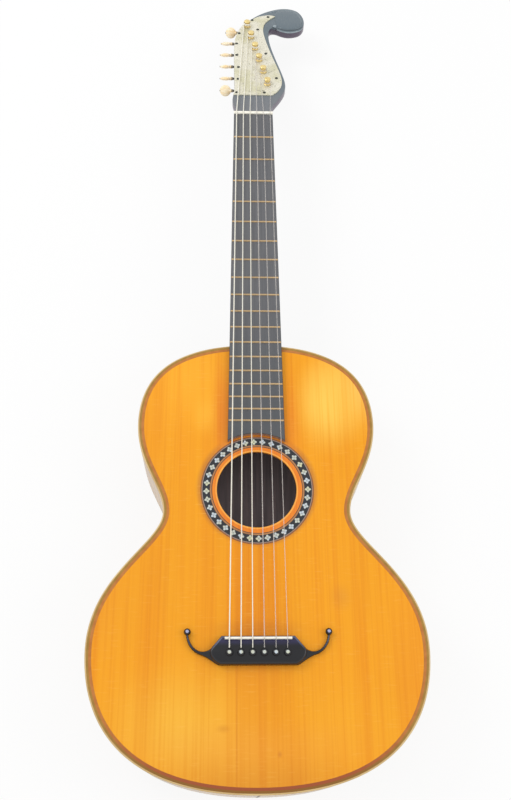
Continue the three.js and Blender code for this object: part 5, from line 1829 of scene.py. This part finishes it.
@dataclass
class Studio:
    """White floor, soft lamps and the camera at the photograph's angle."""

    camera_place: Triple = (-31.5, -777.25, 892.56)
    pitch: float = 24.228
    yaw: float = -1.831
    roll: float = 0.156
    focal_share: float = 936.76 / 800
    sensor: float = 36
    clip: Pair = (0.05, 20)
    # The camera goes round this place on the bench by this many degrees.
    turn: float = 0.12
    turn_about: Triple = (0, -473, 0)
    floor_half: float = 6.0
    floor_drop: float = 0.0005
    floor_white: float = 0.86
    sky: float = 0.82
    # Name, place in metres, power in watts and size of each lamp.
    lamps: tuple[tuple[str, Triple, float, float], ...] = (
        ("lamp_left", (-1.3, 0.7, 1.5), 11.0, 0.9), ("lamp_right", (1.5, -0.3, 1.3), 6.0, 1.0),
    )

    def build(self) -> None:
        """Builds the stage."""
        self.build_floor()
        self.build_sky()
        self.build_lamps()
        self.build_camera()

    def white_for_the_eye(self, tree: Tree, surface: bpy.types.Node, white: str, share: float) -> Socket:
        """Mixes plain white into what camera, mirror and clear rays see.

        Args:
            tree: The node tree.
            surface: The shader that all other rays see.
            white: Type name of the white shader.
            share: The share of white.

        Returns:
            The socket with the mix.
        """
        rays = add_node(tree, "ShaderNodeLightPath")
        seen = rays.outputs["Is Camera Ray"]
        for name in ("Is Glossy Ray", "Is Transmission Ray"):
            either = add_node(tree, "ShaderNodeMath", links={0: seen, 1: rays.outputs[name]},
                              operation="MAXIMUM")
            seen = either.outputs[0]
        part = add_node(tree, "ShaderNodeMath", {1: share}, {0: seen}, operation="MULTIPLY")
        glow = add_node(tree, white, {"Color": (1, 1, 1, 1), "Strength": 1.0})
        mixed = add_node(tree, "ShaderNodeMixShader",
                         links={0: part.outputs[0], 1: surface.outputs[0], 2: glow.outputs[0]})
        return mixed.outputs[0]

    def build_floor(self) -> None:
        """Builds the floor, white to the eye with a faint shadow."""
        half = self.floor_half
        mesh = bpy.data.meshes.new("floor")
        mesh.from_pydata(raised(box_outline(-half, half, -half, half), -self.floor_drop), [], [(0, 1, 2, 3)])
        floor = put_in_scene("floor", mesh)
        material = bpy.data.materials.new("Paper_white_matte")
        tree = cleared_tree(material)
        paper = add_node(tree, "ShaderNodeBsdfDiffuse", {"Color": (0.9, 0.9, 0.9, 1)})
        mixed = self.white_for_the_eye(tree, paper, "ShaderNodeEmission", self.floor_white)
        add_node(tree, "ShaderNodeOutputMaterial", links={"Surface": mixed})
        mesh.materials.append(material)

    def build_sky(self) -> None:
        """Builds an even sky."""
        world = bpy.data.worlds.new("studio")
        bpy.context.scene.world = world
        tree = cleared_tree(world)
        sky = add_node(tree, "ShaderNodeBackground", {"Color": (1, 1, 1, 1), "Strength": self.sky})
        mixed = self.white_for_the_eye(tree, sky, "ShaderNodeBackground", 1.0)
        add_node(tree, "ShaderNodeOutputWorld", links={"Surface": mixed})

    def build_lamps(self) -> None:
        """Builds the two soft lamps, which look at the model's origin."""
        for name, place, power, size in self.lamps:
            data = bpy.data.lights.new(name, "AREA")
            data.energy, data.size = power, size
            lamp = put_in_scene(name, data)
            lamp.location = place
            lamp.rotation_euler = (-Vector(place)).to_track_quat("-Z", "Y").to_euler()

    def build_camera(self) -> None:
        """Builds the camera at the place and angle that the fret spacing gives."""
        data = bpy.data.cameras.new("camera")
        data.sensor_fit, data.sensor_height, data.lens = "AUTO", self.sensor, self.focal_share * self.sensor
        data.clip_start, data.clip_end = self.clip
        camera = put_in_scene("camera", data)
        look = Matrix.Translation(BENCH.origin + Vector(self.camera_place) * MM)
        for degrees, axis in ((self.pitch, "X"), (self.yaw, "Y"), (self.roll, "Z")):
            look = look @ Matrix.Rotation(math.radians(degrees), 4, axis)
        pivot = Matrix.Translation(BENCH.matrix(Zone.BODY) @ Vector(self.turn_about))
        turn = Matrix.Rotation(math.radians(self.turn), 4, "Z")
        camera.matrix_world = pivot @ turn @ pivot.inverted() @ look
        bpy.context.scene.camera = camera
        bpy.context.scene.view_settings.view_transform = "Standard"


def main() -> None:
    """Builds the stage and the guitar, and reports each piece."""
    logging.basicConfig(level=logging.INFO, format="%(name)s: %(message)s")
    box, head, bridge = SoundBox(), Head(), Bridge()
    neck = Neck(box)
    machines = [Machine(station, head) for station in head.stations()]
    strings = StringSet(neck, head, bridge)
    for assembly in (Studio(), box, Rosette(box), neck, head, *machines, bridge, strings):
        before = set(bpy.data.objects)
        assembly.build()
        for piece in sorted(set(bpy.data.objects) - before, key=lambda piece: piece.name):
            LOG.info("%s: %s", type(assembly).__name__, piece.name)


if __name__ == "__main__":
    main()
